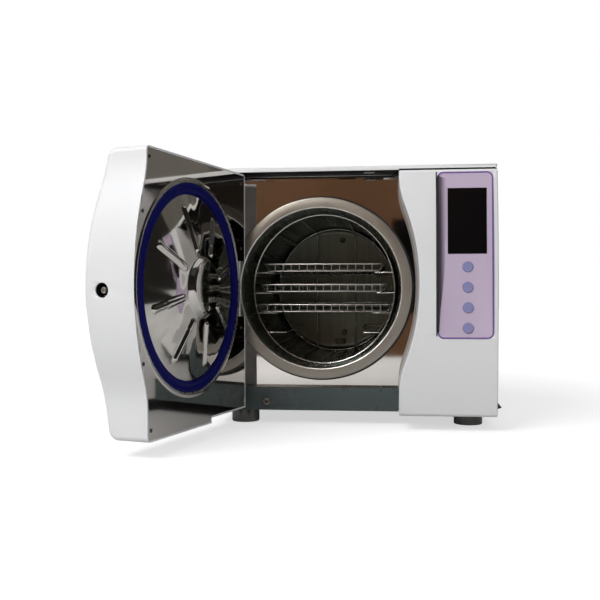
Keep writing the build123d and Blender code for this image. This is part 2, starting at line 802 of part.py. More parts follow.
def dome_profile(outside, inside, hub_side):
    """Half of a domed sheet, between two heights over the disc's own surface."""
    foot_y = hub_y - hub_foot
    with BuildSketch() as profile:
        with BuildLine():
            Line((dish_y + inside, disc_r), (dish_y + outside, disc_r))
            Line((dish_y + outside, disc_r), (dish_y + outside, dome_r))
            ThreePointArc((dish_y + outside, dome_r), (dome_mid_y + outside, dome_mid_r),
                          (foot_y + outside, hub_r + hub_side))
            Polyline((foot_y + outside, hub_r + hub_side), (hub_y + outside, hub_r), (hub_y + outside, 0),
                     (hub_y + inside, 0), (hub_y + inside, hub_r + inside),
                     (foot_y + inside, hub_r + hub_side + inside))
            ThreePointArc((foot_y + inside, hub_r + hub_side + inside), (dome_mid_y + inside, dome_mid_r + inside),
                          (dish_y + inside, dome_r + inside))
            Line((dish_y + inside, dome_r + inside), (dish_y + inside, disc_r))
        make_face()
    return profile.sketch


with BuildPart() as dome_ribs:
    with BuildSketch(door_side(0)):
        add(dome_profile(rib_h, -disc_t / 2, 2))
    revolve(axis=out_axis)
    with BuildSketch(door_front(hub_y + rib_h)):
        for step in range(rib_count):
            angle = radians(step * 360 / rib_count + rib_turn)
            middle = (rib_inner + rib_outer) / 2
            with Locations(Location((middle * cos(angle), middle * sin(angle)), degrees(angle))):
                SlotOverall(rib_outer - rib_inner, rib_w)
    extrude(amount=hub_y + rib_h - dish_y + disc_t, mode=Mode.INTERSECT)

with BuildPart() as door_disc:
    with BuildSketch(door_side(0)):
        add(dome_profile(0, -disc_t, 2))
    revolve(axis=out_axis)
    add(dome_ribs.part)
    with BuildSketch(door_front(dish_y - disc_t)):
        Circle(disc_r)
        Circle(disc_r - 4, mode=Mode.SUBTRACT)
    extrude(amount=dish_y - disc_t - beam_front)
write_piece(door_disc, "door_disc")

# Door beam: the steel bar that carries the disc and turns on the hinge pins
beam_t = 8.0
beam_half_h = 30.0
boss_gap = pin_r + running_gap
door_inside_top = door_top - shell_wall - 0.4
door_inside_low = door_bottom + relief_h + shell_wall + 0.4
with BuildPart() as door_beam:
    with BuildSketch(door_front(beam_front)):
        add(box_profile(hinge_x, 110, -beam_half_h, beam_half_h))
        add(box_profile(hinge_x - pin_boss_r, hinge_x + pin_boss_r, door_inside_low, door_inside_top))
    extrude(amount=beam_t)
    with BuildSketch(door_level(door_inside_low)):
        with Locations((hinge_x, hinge_y)):
            Circle(pin_boss_r)
        add(box_profile(hinge_x - pin_boss_r, hinge_x + pin_boss_r, hinge_y, beam_front))
    extrude(amount=door_inside_top - door_inside_low)
    with BuildSketch(door_level(door_inside_low + 24)):
        add(box_profile(hinge_x - pin_boss_r - 1, hinge_x + pin_boss_r + 1, hinge_y - pin_boss_r - 1, beam_front - beam_t))
    extrude(amount=door_inside_top - door_inside_low - 48, mode=Mode.SUBTRACT)
    with BuildSketch(door_level(door_inside_low - 1)):
        with Locations((hinge_x, hinge_y)):
            Circle(boss_gap)
    extrude(amount=door_inside_top - door_inside_low + 2, mode=Mode.SUBTRACT)
    with BuildSketch(door_front(beam_front)):
        Circle(20)
    extrude(amount=hub_y - disc_t - beam_front, dir=-door_out)
write_piece(door_beam, "door_beam")

# Lock keeper: a steel cup in the door's free edge, with a screw at its bottom
with BuildPart() as lock_keeper:
    with BuildSketch(door_side(lock_cup_in)):
        with Locations((lock_y, lock_z)):
            Circle(lock_cup_r)
    extrude(amount=lock_hole_depth + 2.4 - shell_wall - 1.0)
    with BuildSketch(door_side(lock_cup_in + 2.4)):
        with Locations((lock_y, lock_z)):
            Circle(lock_hole_r - 0.4)
    extrude(amount=lock_hole_depth, mode=Mode.SUBTRACT)
    with BuildSketch(door_side(lock_cup_in + 2.4)):
        with Locations((lock_y, lock_z)):
            Circle(3.4)
    extrude(amount=2.5)
write_piece(lock_keeper, "lock_keeper")

# Screws that hold the mirror panel to the door shell
panel_screw_spots = [(112.0, 160.0), (128.0, 92.0), (127.0, -93.0), (110.0, -176.0),
                     (-152.0, 158.0), (-152.0, 60.0), (-152.0, -60.0), (-152.0, -170.0)]
with BuildPart() as door_screws:
    with BuildSketch(door_front(rim_y)):
        with Locations(*panel_screw_spots):
            Circle(screw_r)
    extrude(amount=0.9, dir=-door_out)
    fillet(door_screws.faces().sort_by(out_axis)[0:8].edges(), 0.4)
write_piece(door_screws, "door_screws")


# Rack: a round wire hoop at each end, long rods, and stubs that carry the rails
def oval(half_w, half_h):
    """Four tangent arcs, nearly round, a little taller than wide."""
    shift = (half_h - half_w) / (2 - sqrt(2))
    top_r = half_h - shift
    join = top_r * sqrt(0.5)
    with BuildLine() as loop:
        ThreePointArc((join, shift + join), (0, half_h), (-join, shift + join))
        ThreePointArc((-join, shift + join), (-half_w, 0), (-join, -shift - join))
        ThreePointArc((-join, -shift - join), (0, -half_h), (join, -shift - join))
        ThreePointArc((join, -shift - join), (half_w, 0), (join, shift + join))
    return loop.line


def oval_half_width(z):
    """Half the rack's width at a height above its own middle."""
    return rack_half_w * sqrt(1 - (z / rack_half_h) ** 2)


with BuildPart() as tray_rack:
    for hoop_y in (rack_front, rack_rear):
        with BuildSketch(front_plane(hoop_y + wire_r)):
            with Locations((0, rack_mid_z)):
                with BuildSketch(mode=Mode.PRIVATE) as hoop:
                    add(make_face(oval(rack_half_w + wire_r, rack_half_h + wire_r), mode=Mode.PRIVATE))
                    add(make_face(oval(rack_half_w - wire_r, rack_half_h - wire_r), mode=Mode.PRIVATE),
                        mode=Mode.SUBTRACT)
                add(hoop.sketch)
                with PolarLocations((rack_half_w + rack_half_h) / 2, hoop_arcs, start_angle=180 / hoop_arcs):
                    Rectangle(10 * wire_r, weld_gap, mode=Mode.SUBTRACT)
        extrude(amount=2 * wire_r)
    rod_spots = []
    for angle in rod_angles:
        rod_z = rack_half_h * sin(radians(angle))
        for side in (-1, 1):
            rod_spots.append((side * oval_half_width(rod_z), rod_z + rack_mid_z))
    loop_z = rack_half_h * sqrt(1 - (loop_x / rack_half_w) ** 2)
    for side in (-1, 1):
        rod_spots.append((side * loop_x, loop_z + rack_mid_z))
        rod_spots.append((side * loop_x, -loop_z + rack_mid_z))
    for level in rail_levels:
        rail_x = oval_half_width(level - rack_mid_z) - stub_len + wire_r
        rod_spots.append((rail_x, level))
        rod_spots.append((-rail_x, level))
    rod_end_y = rack_rear - wire_r - weld_gap
    with BuildSketch(front_plane(rod_end_y)):
        with Locations(*rod_spots):
            Circle(wire_r)
    extrude(amount=rod_end_y - rack_front - wire_r - weld_gap)
    with BuildSketch(front_plane(rack_rear + 3 * wire_r + weld_gap)):
        for side in (-1, 1):
            add(box_profile(side * loop_x - wire_r, side * loop_x + wire_r, -loop_z + rack_mid_z, loop_z + rack_mid_z))
    extrude(amount=2 * wire_r)
    for level in rail_levels:
        tip = oval_half_width(level - rack_mid_z) - stub_len
        stub_edge = (abs(level - rack_mid_z) + wire_r) / (rack_half_h - wire_r)
        reach = (rack_half_w - wire_r) * sqrt(1 - stub_edge ** 2) - weld_gap
        for hoop_y in (rack_front, rack_rear):
            with BuildSketch(front_plane(hoop_y + wire_r)):
                for side in (-1, 1):
                    add(box_profile(min(side * tip, side * reach), max(side * tip, side * reach),
                                    level - wire_r, level + wire_r))
            extrude(amount=2 * wire_r)
write_piece(tray_rack, "tray_rack")

# Three trays with leaning walls, one on each of the upper rails: a floor and four walls, welded
wall_strip = 1.6 * bar_w
for place, (name, width) in enumerate(tray_widths.items()):
    tray_z = rail_levels[place] + wire_r + tray_rest_gap
    tray_top = tray_z + tray_h
    floor_w = width - 2 * tray_lean
    rear_y = tray_front + tray_len
    middle_y = tray_front + tray_len / 2
    bars_x = int(floor_w / bar_pitch)
    bars_y = int((tray_len - 4 * bar_w) / (2 * bar_pitch))
    wall_foot = tray_z + bar_w + weld_gap
    foot_x = floor_w / 2 + tray_lean * (wall_foot - tray_z) / tray_h
    with BuildPart() as tray:
        with BuildSketch(level_plane(tray_z)):
            add(box_profile(-floor_w / 2, floor_w / 2, tray_front + bar_w + weld_gap, rear_y - bar_w - weld_gap))
            with Locations((0, middle_y)):
                with GridLocations(bar_pitch, tray_len / 4 - bar_w, bars_x, 4):
                    Rectangle(bar_pitch - bar_w, tray_len / 4 - 3 * bar_w, mode=Mode.SUBTRACT)
        extrude(amount=bar_w)
        for wall_y in (tray_front + bar_w, rear_y):
            with BuildSketch(front_plane(wall_y)):
                with BuildLine():
                    Polyline((-floor_w / 2, tray_z), (floor_w / 2, tray_z), (width / 2, tray_top),
                             (-width / 2, tray_top), close=True)
                make_face()
                with Locations((0, tray_z + tray_h / 2)):
                    with GridLocations(bar_pitch, 1, bars_x, 1):
                        Rectangle(bar_pitch - bar_w, tray_h - 2 * wall_strip, mode=Mode.SUBTRACT)
            extrude(amount=bar_w)
        with BuildSketch(front_plane(rear_y - bar_w - weld_gap)):
            for side in (-1, 1):
                with BuildLine():
                    Polyline((side * foot_x, wall_foot), (side * width / 2, tray_top),
                             (side * (width / 2 - bar_w), tray_top), (side * (foot_x - bar_w), wall_foot), close=True)
                make_face()
        extrude(amount=tray_len - 2 * bar_w - 2 * weld_gap)
        with BuildSketch(side_plane(-width / 2 - 1)):
            with Locations((middle_y, (wall_foot + tray_top) / 2)):
                with GridLocations(2 * bar_pitch, 1, bars_y, 1):
                    Rectangle(2 * bar_pitch - bar_w, tray_h - bar_w - wall_strip * 2)
        extrude(amount=width + 2, mode=Mode.SUBTRACT)
    write_piece(tray, f"tray_{name}")

# Water tanks on a folded frame in the right-hand bay
bay_left = 158.0
shelf_z = -96.0
tank_front = 28.0
tank_len = 200.0
tank_wall = 2.0
tank_shelf_z = 18.0
frame_rear = casing_rear - 130.0
with BuildPart() as bay_frame:
    with BuildSketch(front_plane(frame_rear)):
        add(box_profile(bay_left, bay_left + sheet_t, deck_z, 60))
        add(box_profile(bay_left + sheet_t, casing_right - sheet_t - 0.2, shelf_z - sheet_t, shelf_z))
        add(box_profile(bay_left + sheet_t, casing_right - sheet_t - 0.2, tank_shelf_z - sheet_t, tank_shelf_z))
    extrude(amount=frame_rear - tank_front)
write_piece(bay_frame, "bay_frame")

tank_low_z = tank_shelf_z + 0.1
tank_top_z = casing_top - hood_wall - 0.3
tank_step_z = 152.5
tank_left = 70.0
tank_right = casing_right - 3.0
with BuildPart() as clean_water_tank:
    with BuildSketch(front_plane(tank_front + tank_len)):
        with BuildLine():
            Polyline((bay_left + 3, tank_low_z), (tank_right, tank_low_z), (tank_right, tank_top_z),
                     (tank_left, tank_top_z), (tank_left, tank_step_z), (bay_left + 3, tank_step_z), close=True)
        make_face()
    extrude(amount=tank_len)
    with BuildSketch(front_plane(tank_front + tank_len - tank_wall)):
        with BuildLine():
            w = tank_wall
            Polyline((bay_left + 3 + w, tank_low_z + w), (tank_right - w, tank_low_z + w),
                     (tank_right - w, tank_top_z - w), (tank_left + w, tank_top_z - w),
                     (tank_left + w, tank_step_z + w), (bay_left + 3 + w, tank_step_z + w), close=True)
        make_face()
    extrude(amount=tank_len - 2 * tank_wall, mode=Mode.SUBTRACT)
    with BuildSketch(level_plane(tank_top_z - 2 * tank_wall)):
        with Locations(((mouth_left + mouth_right) / 2 + 2, (mouth_front + mouth_rear) / 2 + 5)):
            RectangleRounded(mouth_right - mouth_left - 6, mouth_rear - mouth_front - 14, mouth_corner_r - 3)
    extrude(amount=4 * tank_wall, mode=Mode.SUBTRACT)
write_piece(clean_water_tank, "clean_water_tank")

used_top_z = tank_shelf_z - sheet_t - 4
with BuildPart() as used_water_tank:
    with BuildSketch(front_plane(tank_front + tank_len)):
        add(box_profile(bay_left + 3, tank_right, shelf_z + 0.1, used_top_z))
    extrude(amount=tank_len)
    used_tank_edges = used_water_tank.edges().filter_by(Axis.Y)
    fillet(used_tank_edges, 1.5)
    with BuildSketch(front_plane(tank_front + tank_len - tank_wall)):
        add(box_profile(bay_left + 3 + tank_wall, tank_right - tank_wall, shelf_z + 0.1 + tank_wall,
                        used_top_z - tank_wall))
    extrude(amount=tank_len - 2 * tank_wall, mode=Mode.SUBTRACT)
    with BuildSketch(level_plane(used_top_z - 2 * tank_wall)):
        with Locations((bay_left + 30, tank_front + 30)):
            Circle(10)
    extrude(amount=3 * tank_wall, mode=Mode.SUBTRACT)
write_piece(used_water_tank, "used_water_tank")

# Tank lid with a raised top, hinged at its rear edge
lid_rear = lid_front + lid_len
lid_top = casing_top + lid_rise
lid_pin_y = lid_rear - lid_knuckle_r
lid_pin_z = casing_top + lid_knuckle_r + 0.2
knuckle_len = 22.0
with BuildPart() as tank_lid:
    with BuildSketch(level_plane(casing_top + 0.1)):
        with Locations(((lid_left + lid_right) / 2, lid_front + (lid_len - 14) / 2)):
            RectangleRounded(lid_right - lid_left, lid_len - 14, 9)
    extrude(amount=lid_rise - 0.1)
    fillet(tank_lid.faces().sort_by(Axis.Z)[-1].edges(), 2.0)
    with BuildSketch(side_plane(lid_left + 30)):
        with Locations((lid_pin_y, lid_pin_z)):
            Circle(lid_knuckle_r)
        add(box_profile(lid_rear - 20, lid_pin_y, casing_top + 0.3, casing_top + lid_rise - 1))
    extrude(amount=knuckle_len)
    with BuildSketch(side_plane(lid_right - 30 - knuckle_len)):
        with Locations((lid_pin_y, lid_pin_z)):
            Circle(lid_knuckle_r)
        add(box_profile(lid_rear - 20, lid_pin_y, casing_top + 0.3, casing_top + lid_rise - 1))
    extrude(amount=knuckle_len)
    with BuildSketch(side_plane(lid_left)):
        with Locations((lid_pin_y, lid_pin_z)):
            Circle(lid_pin_r + running_gap)
    extrude(amount=lid_right - lid_left, mode=Mode.SUBTRACT)
write_piece(tank_lid, "tank_lid")

# Lid hinge: lugs on the hood and the pin through both knuckles
lug_t = 4.0
with BuildPart() as lid_hinge:
    for lug_x in (lid_left + 30 - lug_t - 0.4, lid_left + 30 + knuckle_len + 0.4,
                  lid_right - 30 - knuckle_len - lug_t - 0.4, lid_right - 30 + 0.4):
        with BuildSketch(side_plane(lug_x)):
            with Locations((lid_pin_y, lid_pin_z)):
                Circle(lid_knuckle_r)
            add(box_profile(lid_pin_y - lid_knuckle_r, lid_pin_y + lid_knuckle_r, casing_top, lid_pin_z))
        extrude(amount=lug_t)
    for start_x in (lid_left + 30 - 2, lid_right - 30 - knuckle_len - 2):
        with BuildSketch(side_plane(start_x)):
            with Locations((lid_pin_y, lid_pin_z)):
                Circle(lid_pin_r)
        extrude(amount=knuckle_len + 4)
write_piece(lid_hinge, "lid_hinge")

# Mains rocker in its housing on the right side
rocker_pivot_x = hood_right - 1.0
housing_depth = 16.0
with BuildPart() as rocker_housing:
    with BuildSketch(side_plane(hood_right - housing_depth)):
        add(rocker_cutout(0))
    extrude(amount=housing_depth)
    with BuildSketch(side_plane(hood_right)):
        add(rocker_cutout(rocker_rim))
    extrude(amount=1.4)
    with BuildSketch(side_plane(hood_right - housing_depth + 1.6)):
        add(box_profile(rocker_y - rocker_w / 2 - 0.6, rocker_y + rocker_w / 2 + 0.6,
                        rocker_z - rocker_half_h - 0.9, rocker_z + rocker_half_h + 0.9))
    extrude(amount=housing_depth + 4, mode=Mode.SUBTRACT)
    with BuildSketch(front_plane(rocker_y + rocker_w / 2 + 1)):
        with Locations((rocker_pivot_x, rocker_z)):
            Circle(1.4)
    extrude(amount=rocker_w + 2)
write_piece(rocker_housing, "rocker_housing")

with BuildPart() as power_rocker:
    with BuildSketch(front_plane(rocker_y + rocker_w / 2)):
        with BuildLine():
            Polyline((hood_right + 1.4, rocker_z + rocker_half_h), (hood_right - 1.0, rocker_z + rocker_half_h),
                     (hood_right - 7.0, rocker_z + 2), (hood_right - 7.0, rocker_z - 2),
                     (hood_right + 1.6, rocker_z - rocker_half_h), (hood_right + rocker_proud, rocker_z - 7.4),
                     (hood_right + 2.6, rocker_z), close=True)
        make_face()
        with Locations((rocker_pivot_x, rocker_z)):
            Circle(1.4 + running_gap, mode=Mode.SUBTRACT)
    extrude(amount=rocker_w)
write_piece(power_rocker, "power_rocker")

# Working parts behind the chamber and in the bay, placed from the tanks and the casing's rear
bay_mid_x = (bay_left + casing_right) / 2
behind_tank = tank_front + tank_len
pump_plate_t = 4.0
pump_motor_r = 38.0
pump_head_w = 66.0
pump_centre_z = deck_z + pump_plate_t + pump_motor_r - 2.0
pump_gap = 27.0
pump_len = 145.0
pump_front = behind_tank + pump_gap
with BuildPart() as vacuum_pump:
    with BuildSketch(level_plane(deck_z)):
        add(box_profile(bay_left + 12, casing_right - 12, pump_front, pump_front + pump_len))
    extrude(amount=pump_plate_t)
    with BuildSketch(front_plane(pump_front + pump_len - 5)):
        with Locations((bay_mid_x, pump_centre_z)):
            Circle(pump_motor_r)
    extrude(amount=90)
    with BuildSketch(front_plane(pump_front + 50)):
        with Locations((bay_mid_x, pump_centre_z)):
            RectangleRounded(pump_head_w, 2 * pump_motor_r - 2, 8)
    extrude(amount=45)
write_piece(vacuum_pump, "vacuum_pump")

generator_r = 46.0
generator_h = 150.0
generator_base_r = 54.0
generator_x = -70.0
generator_y = casing_rear - 72.0
with BuildPart() as steam_generator:
    with BuildSketch(level_plane(deck_z)):
        with Locations((generator_x, generator_y)):
            Circle(generator_r)
    extrude(amount=generator_h)
    fillet(steam_generator.faces().sort_by(Axis.Z)[-1].edges(), 14)
    with BuildSketch(level_plane(deck_z)):
        with Locations((generator_x, generator_y)):
            Circle(generator_base_r)
    extrude(amount=6)
write_piece(steam_generator, "steam_generator")

water_pump_w = 60.0
water_pump_r = 22.0
water_pump_h = 72.0
water_pump_x = 40.0
water_pump_y = casing_rear - 82.0
with BuildPart() as water_pump:
    with BuildSketch(level_plane(deck_z)):
        with Locations((water_pump_x, water_pump_y)):
            RectangleRounded(water_pump_w, water_pump_w, 6)
    extrude(amount=14)
    with BuildSketch(level_plane(deck_z)):
        with Locations((water_pump_x, water_pump_y)):
            Circle(water_pump_r)
    extrude(amount=water_pump_h)
write_piece(water_pump, "water_pump")

supply_rear_gap = 36.0
supply_len = 88.0
supply_h = 38.0
with BuildPart() as power_supply:
    with BuildSketch(level_plane(deck_z)):
        supply_rear = casing_rear - supply_rear_gap
        add(box_profile(bay_left + 6, casing_right - 8, supply_rear - supply_len, supply_rear))
    extrude(amount=supply_h)
write_piece(power_supply, "power_supply")

# Solenoid valves on a manifold block fixed to the rear panel
valve_block_x = 30.0
valve_block_w = 140.0
valve_block_len = 60.0
valve_block_h = 16.0
valve_block_z = 20.0
valve_coil_pitch = 35.0
valve_coil_h = 34.0
with BuildPart() as solenoid_valves:
    with BuildSketch(level_plane(valve_block_z)):
        add(box_profile(valve_block_x - valve_block_w / 2, valve_block_x + valve_block_w / 2,
                        casing_rear - valve_block_len, casing_rear))
    extrude(amount=valve_block_h)
    with BuildSketch(level_plane(valve_block_z + valve_block_h)):
        for step in range(4):
            with Locations((valve_block_x + (step - 1.5) * valve_coil_pitch, casing_rear - valve_block_len * 0.6)):
                RectangleRounded(24, 28, 3)
    extrude(amount=valve_coil_h)
write_piece(solenoid_valves, "solenoid_valves")

# Cooling fan on the rear panel, with the condenser in front of it
fan_depth = 25.0
fan_gap = 1.2
hub_fan_r = 20.0
with BuildPart() as fan_frame:
    with BuildSketch(front_plane(casing_rear)):
        with Locations((fan_x, fan_z)):
            RectangleRounded(fan_size, fan_size, 5)
            Circle(fan_r, mode=Mode.SUBTRACT)
    extrude(amount=fan_depth)
    with BuildSketch(front_plane(casing_rear - fan_depth + 3)):
        with Locations((fan_x, fan_z)):
            Circle(hub_fan_r)
            for angle in (0, 120, 240):
                with PolarLocations((fan_r + hub_fan_r) / 2 - 1, 1, start_angle=angle):
                    Rectangle(fan_r - hub_fan_r + 4, 4)
    extrude(amount=3)
    with BuildSketch(front_plane(casing_rear - fan_depth + 11)):
        with Locations((fan_x, fan_z)):
            Circle(3)
    extrude(amount=8)
write_piece(fan_frame, "fan_frame")

blade_count = 7
with BuildPart() as fan_rotor:
    with BuildSketch(front_plane(casing_rear - 3)):
        with Locations((fan_x, fan_z)):
            Circle(hub_fan_r)
    extrude(amount=fan_depth - 8)
    for step in range(blade_count):
        turn = step * 360 / blade_count
        hub_point = Location((origin_x + fan_x, origin_y + casing_rear - 11, origin_z + fan_z))
        blade_place = hub_point * Location((0, 0, 0), (0, turn, 0))
        blade_plane = Plane(origin=(hub_fan_r - 2, 0, 0), x_dir=(0, 0.8, 0.6), z_dir=(1, 0, 0))
        with BuildSketch(Plane(blade_place * blade_plane.location)):
            Rectangle(15, 1.8)
        extrude(amount=fan_r - fan_gap - hub_fan_r)
    with BuildSketch(front_plane(casing_rear - fan_depth + 11.5)):
        with Locations((fan_x, fan_z)):
            Circle(3 + running_gap)
    extrude(amount=9, mode=Mode.SUBTRACT)
write_piece(fan_rotor, "fan_rotor")

with BuildPart() as condenser:
    with BuildSketch(front_plane(casing_rear - fan_depth - 0.1)):
        for row in range(12):
            with Locations((fan_x, fan_z - 52 + 9.4 * row)):
                Rectangle(104, 1.2)
        for column in (-40, -13, 13, 40):
            with Locations((fan_x + column, fan_z)):
                Rectangle(9, 112)
    extrude(amount=40)
write_piece(condenser, "condenser")

# Main board on the bay frame's shelf, behind the clean tank
board_gap = 12.0
board_t = 2.0
board_front = behind_tank + board_gap
board_rear = frame_rear - 5.0
board_len = board_rear - board_front
with BuildPart() as main_board:
    with BuildSketch(side_plane(bay_left + sheet_t)):
        add(box_profile(board_front, board_rear, tank_shelf_z, tank_shelf_z + 40))
    extrude(amount=8)
    with BuildSketch(level_plane(tank_shelf_z)):
        add(box_profile(bay_left + sheet_t + 8, casing_right - 10, board_front, board_rear))
    extrude(amount=board_t)
    with BuildSketch(level_plane(tank_shelf_z + board_t)):
        with Locations((bay_mid_x - 12, board_front + board_len / 3), (bay_mid_x + 22, board_rear - board_len / 4)):
            Rectangle(30, 34)
    extrude(amount=14)
write_piece(main_board, "main_board")

# What shows at the back: inlet, filter, safety valve and hose barbs
with BuildPart() as mains_inlet:
    with BuildSketch(front_plane(casing_rear + sheet_t)):
        add(box_profile(inlet_x - inlet_w / 2 + 0.2, inlet_x + inlet_w / 2 - 0.2, inlet_z - inlet_h / 2 + 0.2,
                        inlet_z + inlet_h / 2 - 0.2))
    extrude(amount=20)
    with BuildSketch(front_plane(casing_rear + sheet_t + 2)):
        add(box_profile(inlet_x - inlet_w / 2 - 3, inlet_x + inlet_w / 2 + 3, inlet_z - inlet_h / 2 - 3,
                        inlet_z + inlet_h / 2 + 3))
    extrude(amount=2)
    with BuildSketch(front_plane(casing_rear + sheet_t + 3)):
        with Locations((inlet_x, inlet_z)):
            RectangleRounded(27, 20, 3)
    extrude(amount=18, mode=Mode.SUBTRACT)
    with BuildSketch(front_plane(casing_rear)):
        with Locations((inlet_x - 7, inlet_z - 2), (inlet_x, inlet_z + 3), (inlet_x + 7, inlet_z - 2)):
            Rectangle(2, 5)
    extrude(amount=14)
write_piece(mains_inlet, "mains_inlet")

with BuildPart() as air_filter:
    with BuildSketch(front_plane(casing_rear + sheet_t + rear_proud)):
        with Locations((filter_x, filter_z)):
            Circle(filter_r)
    extrude(amount=rear_proud)
    fillet(air_filter.faces().sort_by(Axis.Y)[-1].edges(), 5)
    with BuildSketch(front_plane(casing_rear + sheet_t)):
        with Locations((filter_x, filter_z)):
            Circle(7.8)
    extrude(amount=16)
write_piece(air_filter, "air_filter")

with BuildPart() as safety_valve:
    with BuildSketch(front_plane(casing_rear + sheet_t + 18)):
        with Locations((valve_x, valve_z)):
            Circle(valve_r)
    extrude(amount=60)
    with BuildSketch(front_plane(casing_rear + sheet_t + 8)):
        with Locations((valve_x, valve_z)):
            RegularPolygon(valve_r + 4, 6)
    extrude(amount=8)
    fillet(safety_valve.faces().sort_by(Axis.Y)[-1].edges(), 2)
write_piece(safety_valve, "safety_valve")

with BuildPart() as hose_barbs:
    for side in (0, 1):
        with BuildSketch(front_plane(casing_rear + sheet_t + barb_len + 4)):
            with Locations((barb_x + side * barb_pitch, barb_z)):
                Circle(barb_r)
        extrude(amount=barb_len + 4)
        with BuildSketch(front_plane(casing_rear + sheet_t + 4)):
            with Locations((barb_x + side * barb_pitch, barb_z)):
                RegularPolygon(8, 6)
        extrude(amount=4)
        with BuildSketch(front_plane(casing_rear + sheet_t)):
            with Locations((barb_x + side * barb_pitch, barb_z)):
                Circle(5)
        extrude(amount=14)
    with BuildSketch(front_plane(casing_rear + sheet_t + barb_len + 5)):
        for side in (0, 1):
            with Locations((barb_x + side * barb_pitch, barb_z)):
                Circle(2.4)
    extrude(amount=barb_len + 22, mode=Mode.SUBTRACT)
write_piece(hose_barbs, "hose_barbs")

# Drain port in the base's front strip
with BuildPart() as drain_port:
    with BuildSketch(front_plane(base_front)):
        with Locations((drain_x, drain_z)):
            Circle(drain_r)
    extrude(amount=drain_flange_t)
    with BuildSketch(front_plane(base_front + 14)):
        with Locations((drain_x, drain_z)):
            Circle(drain_bore_r + 2)
    extrude(amount=14)
    with BuildSketch(front_plane(base_front - drain_flange_t)):
        with Locations((drain_x, drain_z)):
            Circle(drain_bore_r + 1.8)
    extrude(amount=drain_lip_t)
    with BuildSketch(front_plane(base_front + 10)):
        with Locations((drain_x, drain_z)):
            Circle(drain_bore_r)
    extrude(amount=16, mode=Mode.SUBTRACT)
write_piece(drain_port, "drain_port")

# Screws in the hood's sides and the rear panel
hood_screw_spots = [(60.0, -175.0), (300.0, -175.0), (500.0, -175.0)]
with BuildPart() as hood_screws:
    with BuildSketch(side_plane(hood_right)):
        with Locations(*hood_screw_spots):
            Circle(4)
    extrude(amount=1.6)
    with BuildSketch(side_plane(hood_left - 1.6)):
        with Locations(*hood_screw_spots):
            Circle(4)
    extrude(amount=1.6)
write_piece(hood_screws, "hood_screws")

rear_screw_spots = [(x, z) for x in (casing_left + 14, 50.0, casing_right - 14) for z in (-176.0, 170.0)]
with BuildPart() as rear_screws:
    with BuildSketch(front_plane(casing_rear + sheet_t + 1.6)):
        with Locations(*rear_screw_spots):
            Circle(3.6)
    extrude(amount=1.6)
write_piece(rear_screws, "rear_screws")
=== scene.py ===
import bpy
import json
from math import cos, hypot, pi, radians, sin, sqrt
from mathutils import Euler, Matrix, Vector


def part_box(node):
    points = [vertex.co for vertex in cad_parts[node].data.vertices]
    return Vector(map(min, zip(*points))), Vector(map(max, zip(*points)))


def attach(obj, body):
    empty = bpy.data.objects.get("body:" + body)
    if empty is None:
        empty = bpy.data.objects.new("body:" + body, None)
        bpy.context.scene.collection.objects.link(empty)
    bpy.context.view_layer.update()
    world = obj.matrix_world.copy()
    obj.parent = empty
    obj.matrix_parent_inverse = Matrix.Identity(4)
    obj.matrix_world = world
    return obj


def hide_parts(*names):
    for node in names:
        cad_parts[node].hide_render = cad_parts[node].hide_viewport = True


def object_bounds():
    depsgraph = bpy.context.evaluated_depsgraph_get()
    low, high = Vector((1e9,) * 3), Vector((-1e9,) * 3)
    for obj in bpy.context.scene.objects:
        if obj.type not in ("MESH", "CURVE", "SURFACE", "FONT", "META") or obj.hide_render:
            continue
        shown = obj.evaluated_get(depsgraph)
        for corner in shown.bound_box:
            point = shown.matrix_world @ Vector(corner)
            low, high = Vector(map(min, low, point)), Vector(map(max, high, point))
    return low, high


# A benchtop steam autoclave, dressed over its own solids.
# Pieces are modelled in millimetres about the middle of the chamber's mouth, with the door's
# own pieces as they lie when it is shut. The front faces -Y.

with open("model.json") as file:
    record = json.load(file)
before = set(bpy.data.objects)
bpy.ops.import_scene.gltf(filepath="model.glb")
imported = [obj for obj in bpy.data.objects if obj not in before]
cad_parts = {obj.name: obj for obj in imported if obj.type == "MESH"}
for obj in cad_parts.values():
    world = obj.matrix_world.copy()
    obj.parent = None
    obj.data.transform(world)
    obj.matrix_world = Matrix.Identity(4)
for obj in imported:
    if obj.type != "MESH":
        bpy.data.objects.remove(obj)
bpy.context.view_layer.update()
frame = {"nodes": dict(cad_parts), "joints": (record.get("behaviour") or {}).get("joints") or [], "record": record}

ring_low, ring_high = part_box("chamber_ring")
mouth = Vector(((ring_low.x + ring_high.x) / 2, ring_low.y, (ring_low.z + ring_high.z) / 2))
door_joint = [joint for joint in frame["joints"] if joint["name"] == "door_hinge"][0]
hinge_place = Vector(door_joint["pos_m"])
open_turn = radians(door_joint["range_deg"][1])
door_swing = (Matrix.Translation(hinge_place) @ Matrix.Rotation(-open_turn, 4, "Z")
              @ Matrix.Translation(-hinge_place))


def at(x, y, z):
    """A point of the frame, from millimetres about the chamber's mouth."""
    return mouth + Vector((x, y, z)) / 1000


# ---- finishes

def new_finish(name, colour, rough, metal=0.0):
    """An empty surface with its constants set, and the parts that every finish is built from."""
    finish = bpy.data.materials.new(name)
    finish.use_nodes = True
    tree = finish.node_tree
    surface = tree.nodes["Principled BSDF"]
    surface.inputs["Base Color"].default_value = (*colour, 1)
    surface.inputs["Roughness"].default_value = rough
    surface.inputs["Metallic"].default_value = metal
    spot = tree.nodes.new("ShaderNodeTexCoord")
    return finish, tree, surface, spot.outputs["Object"]


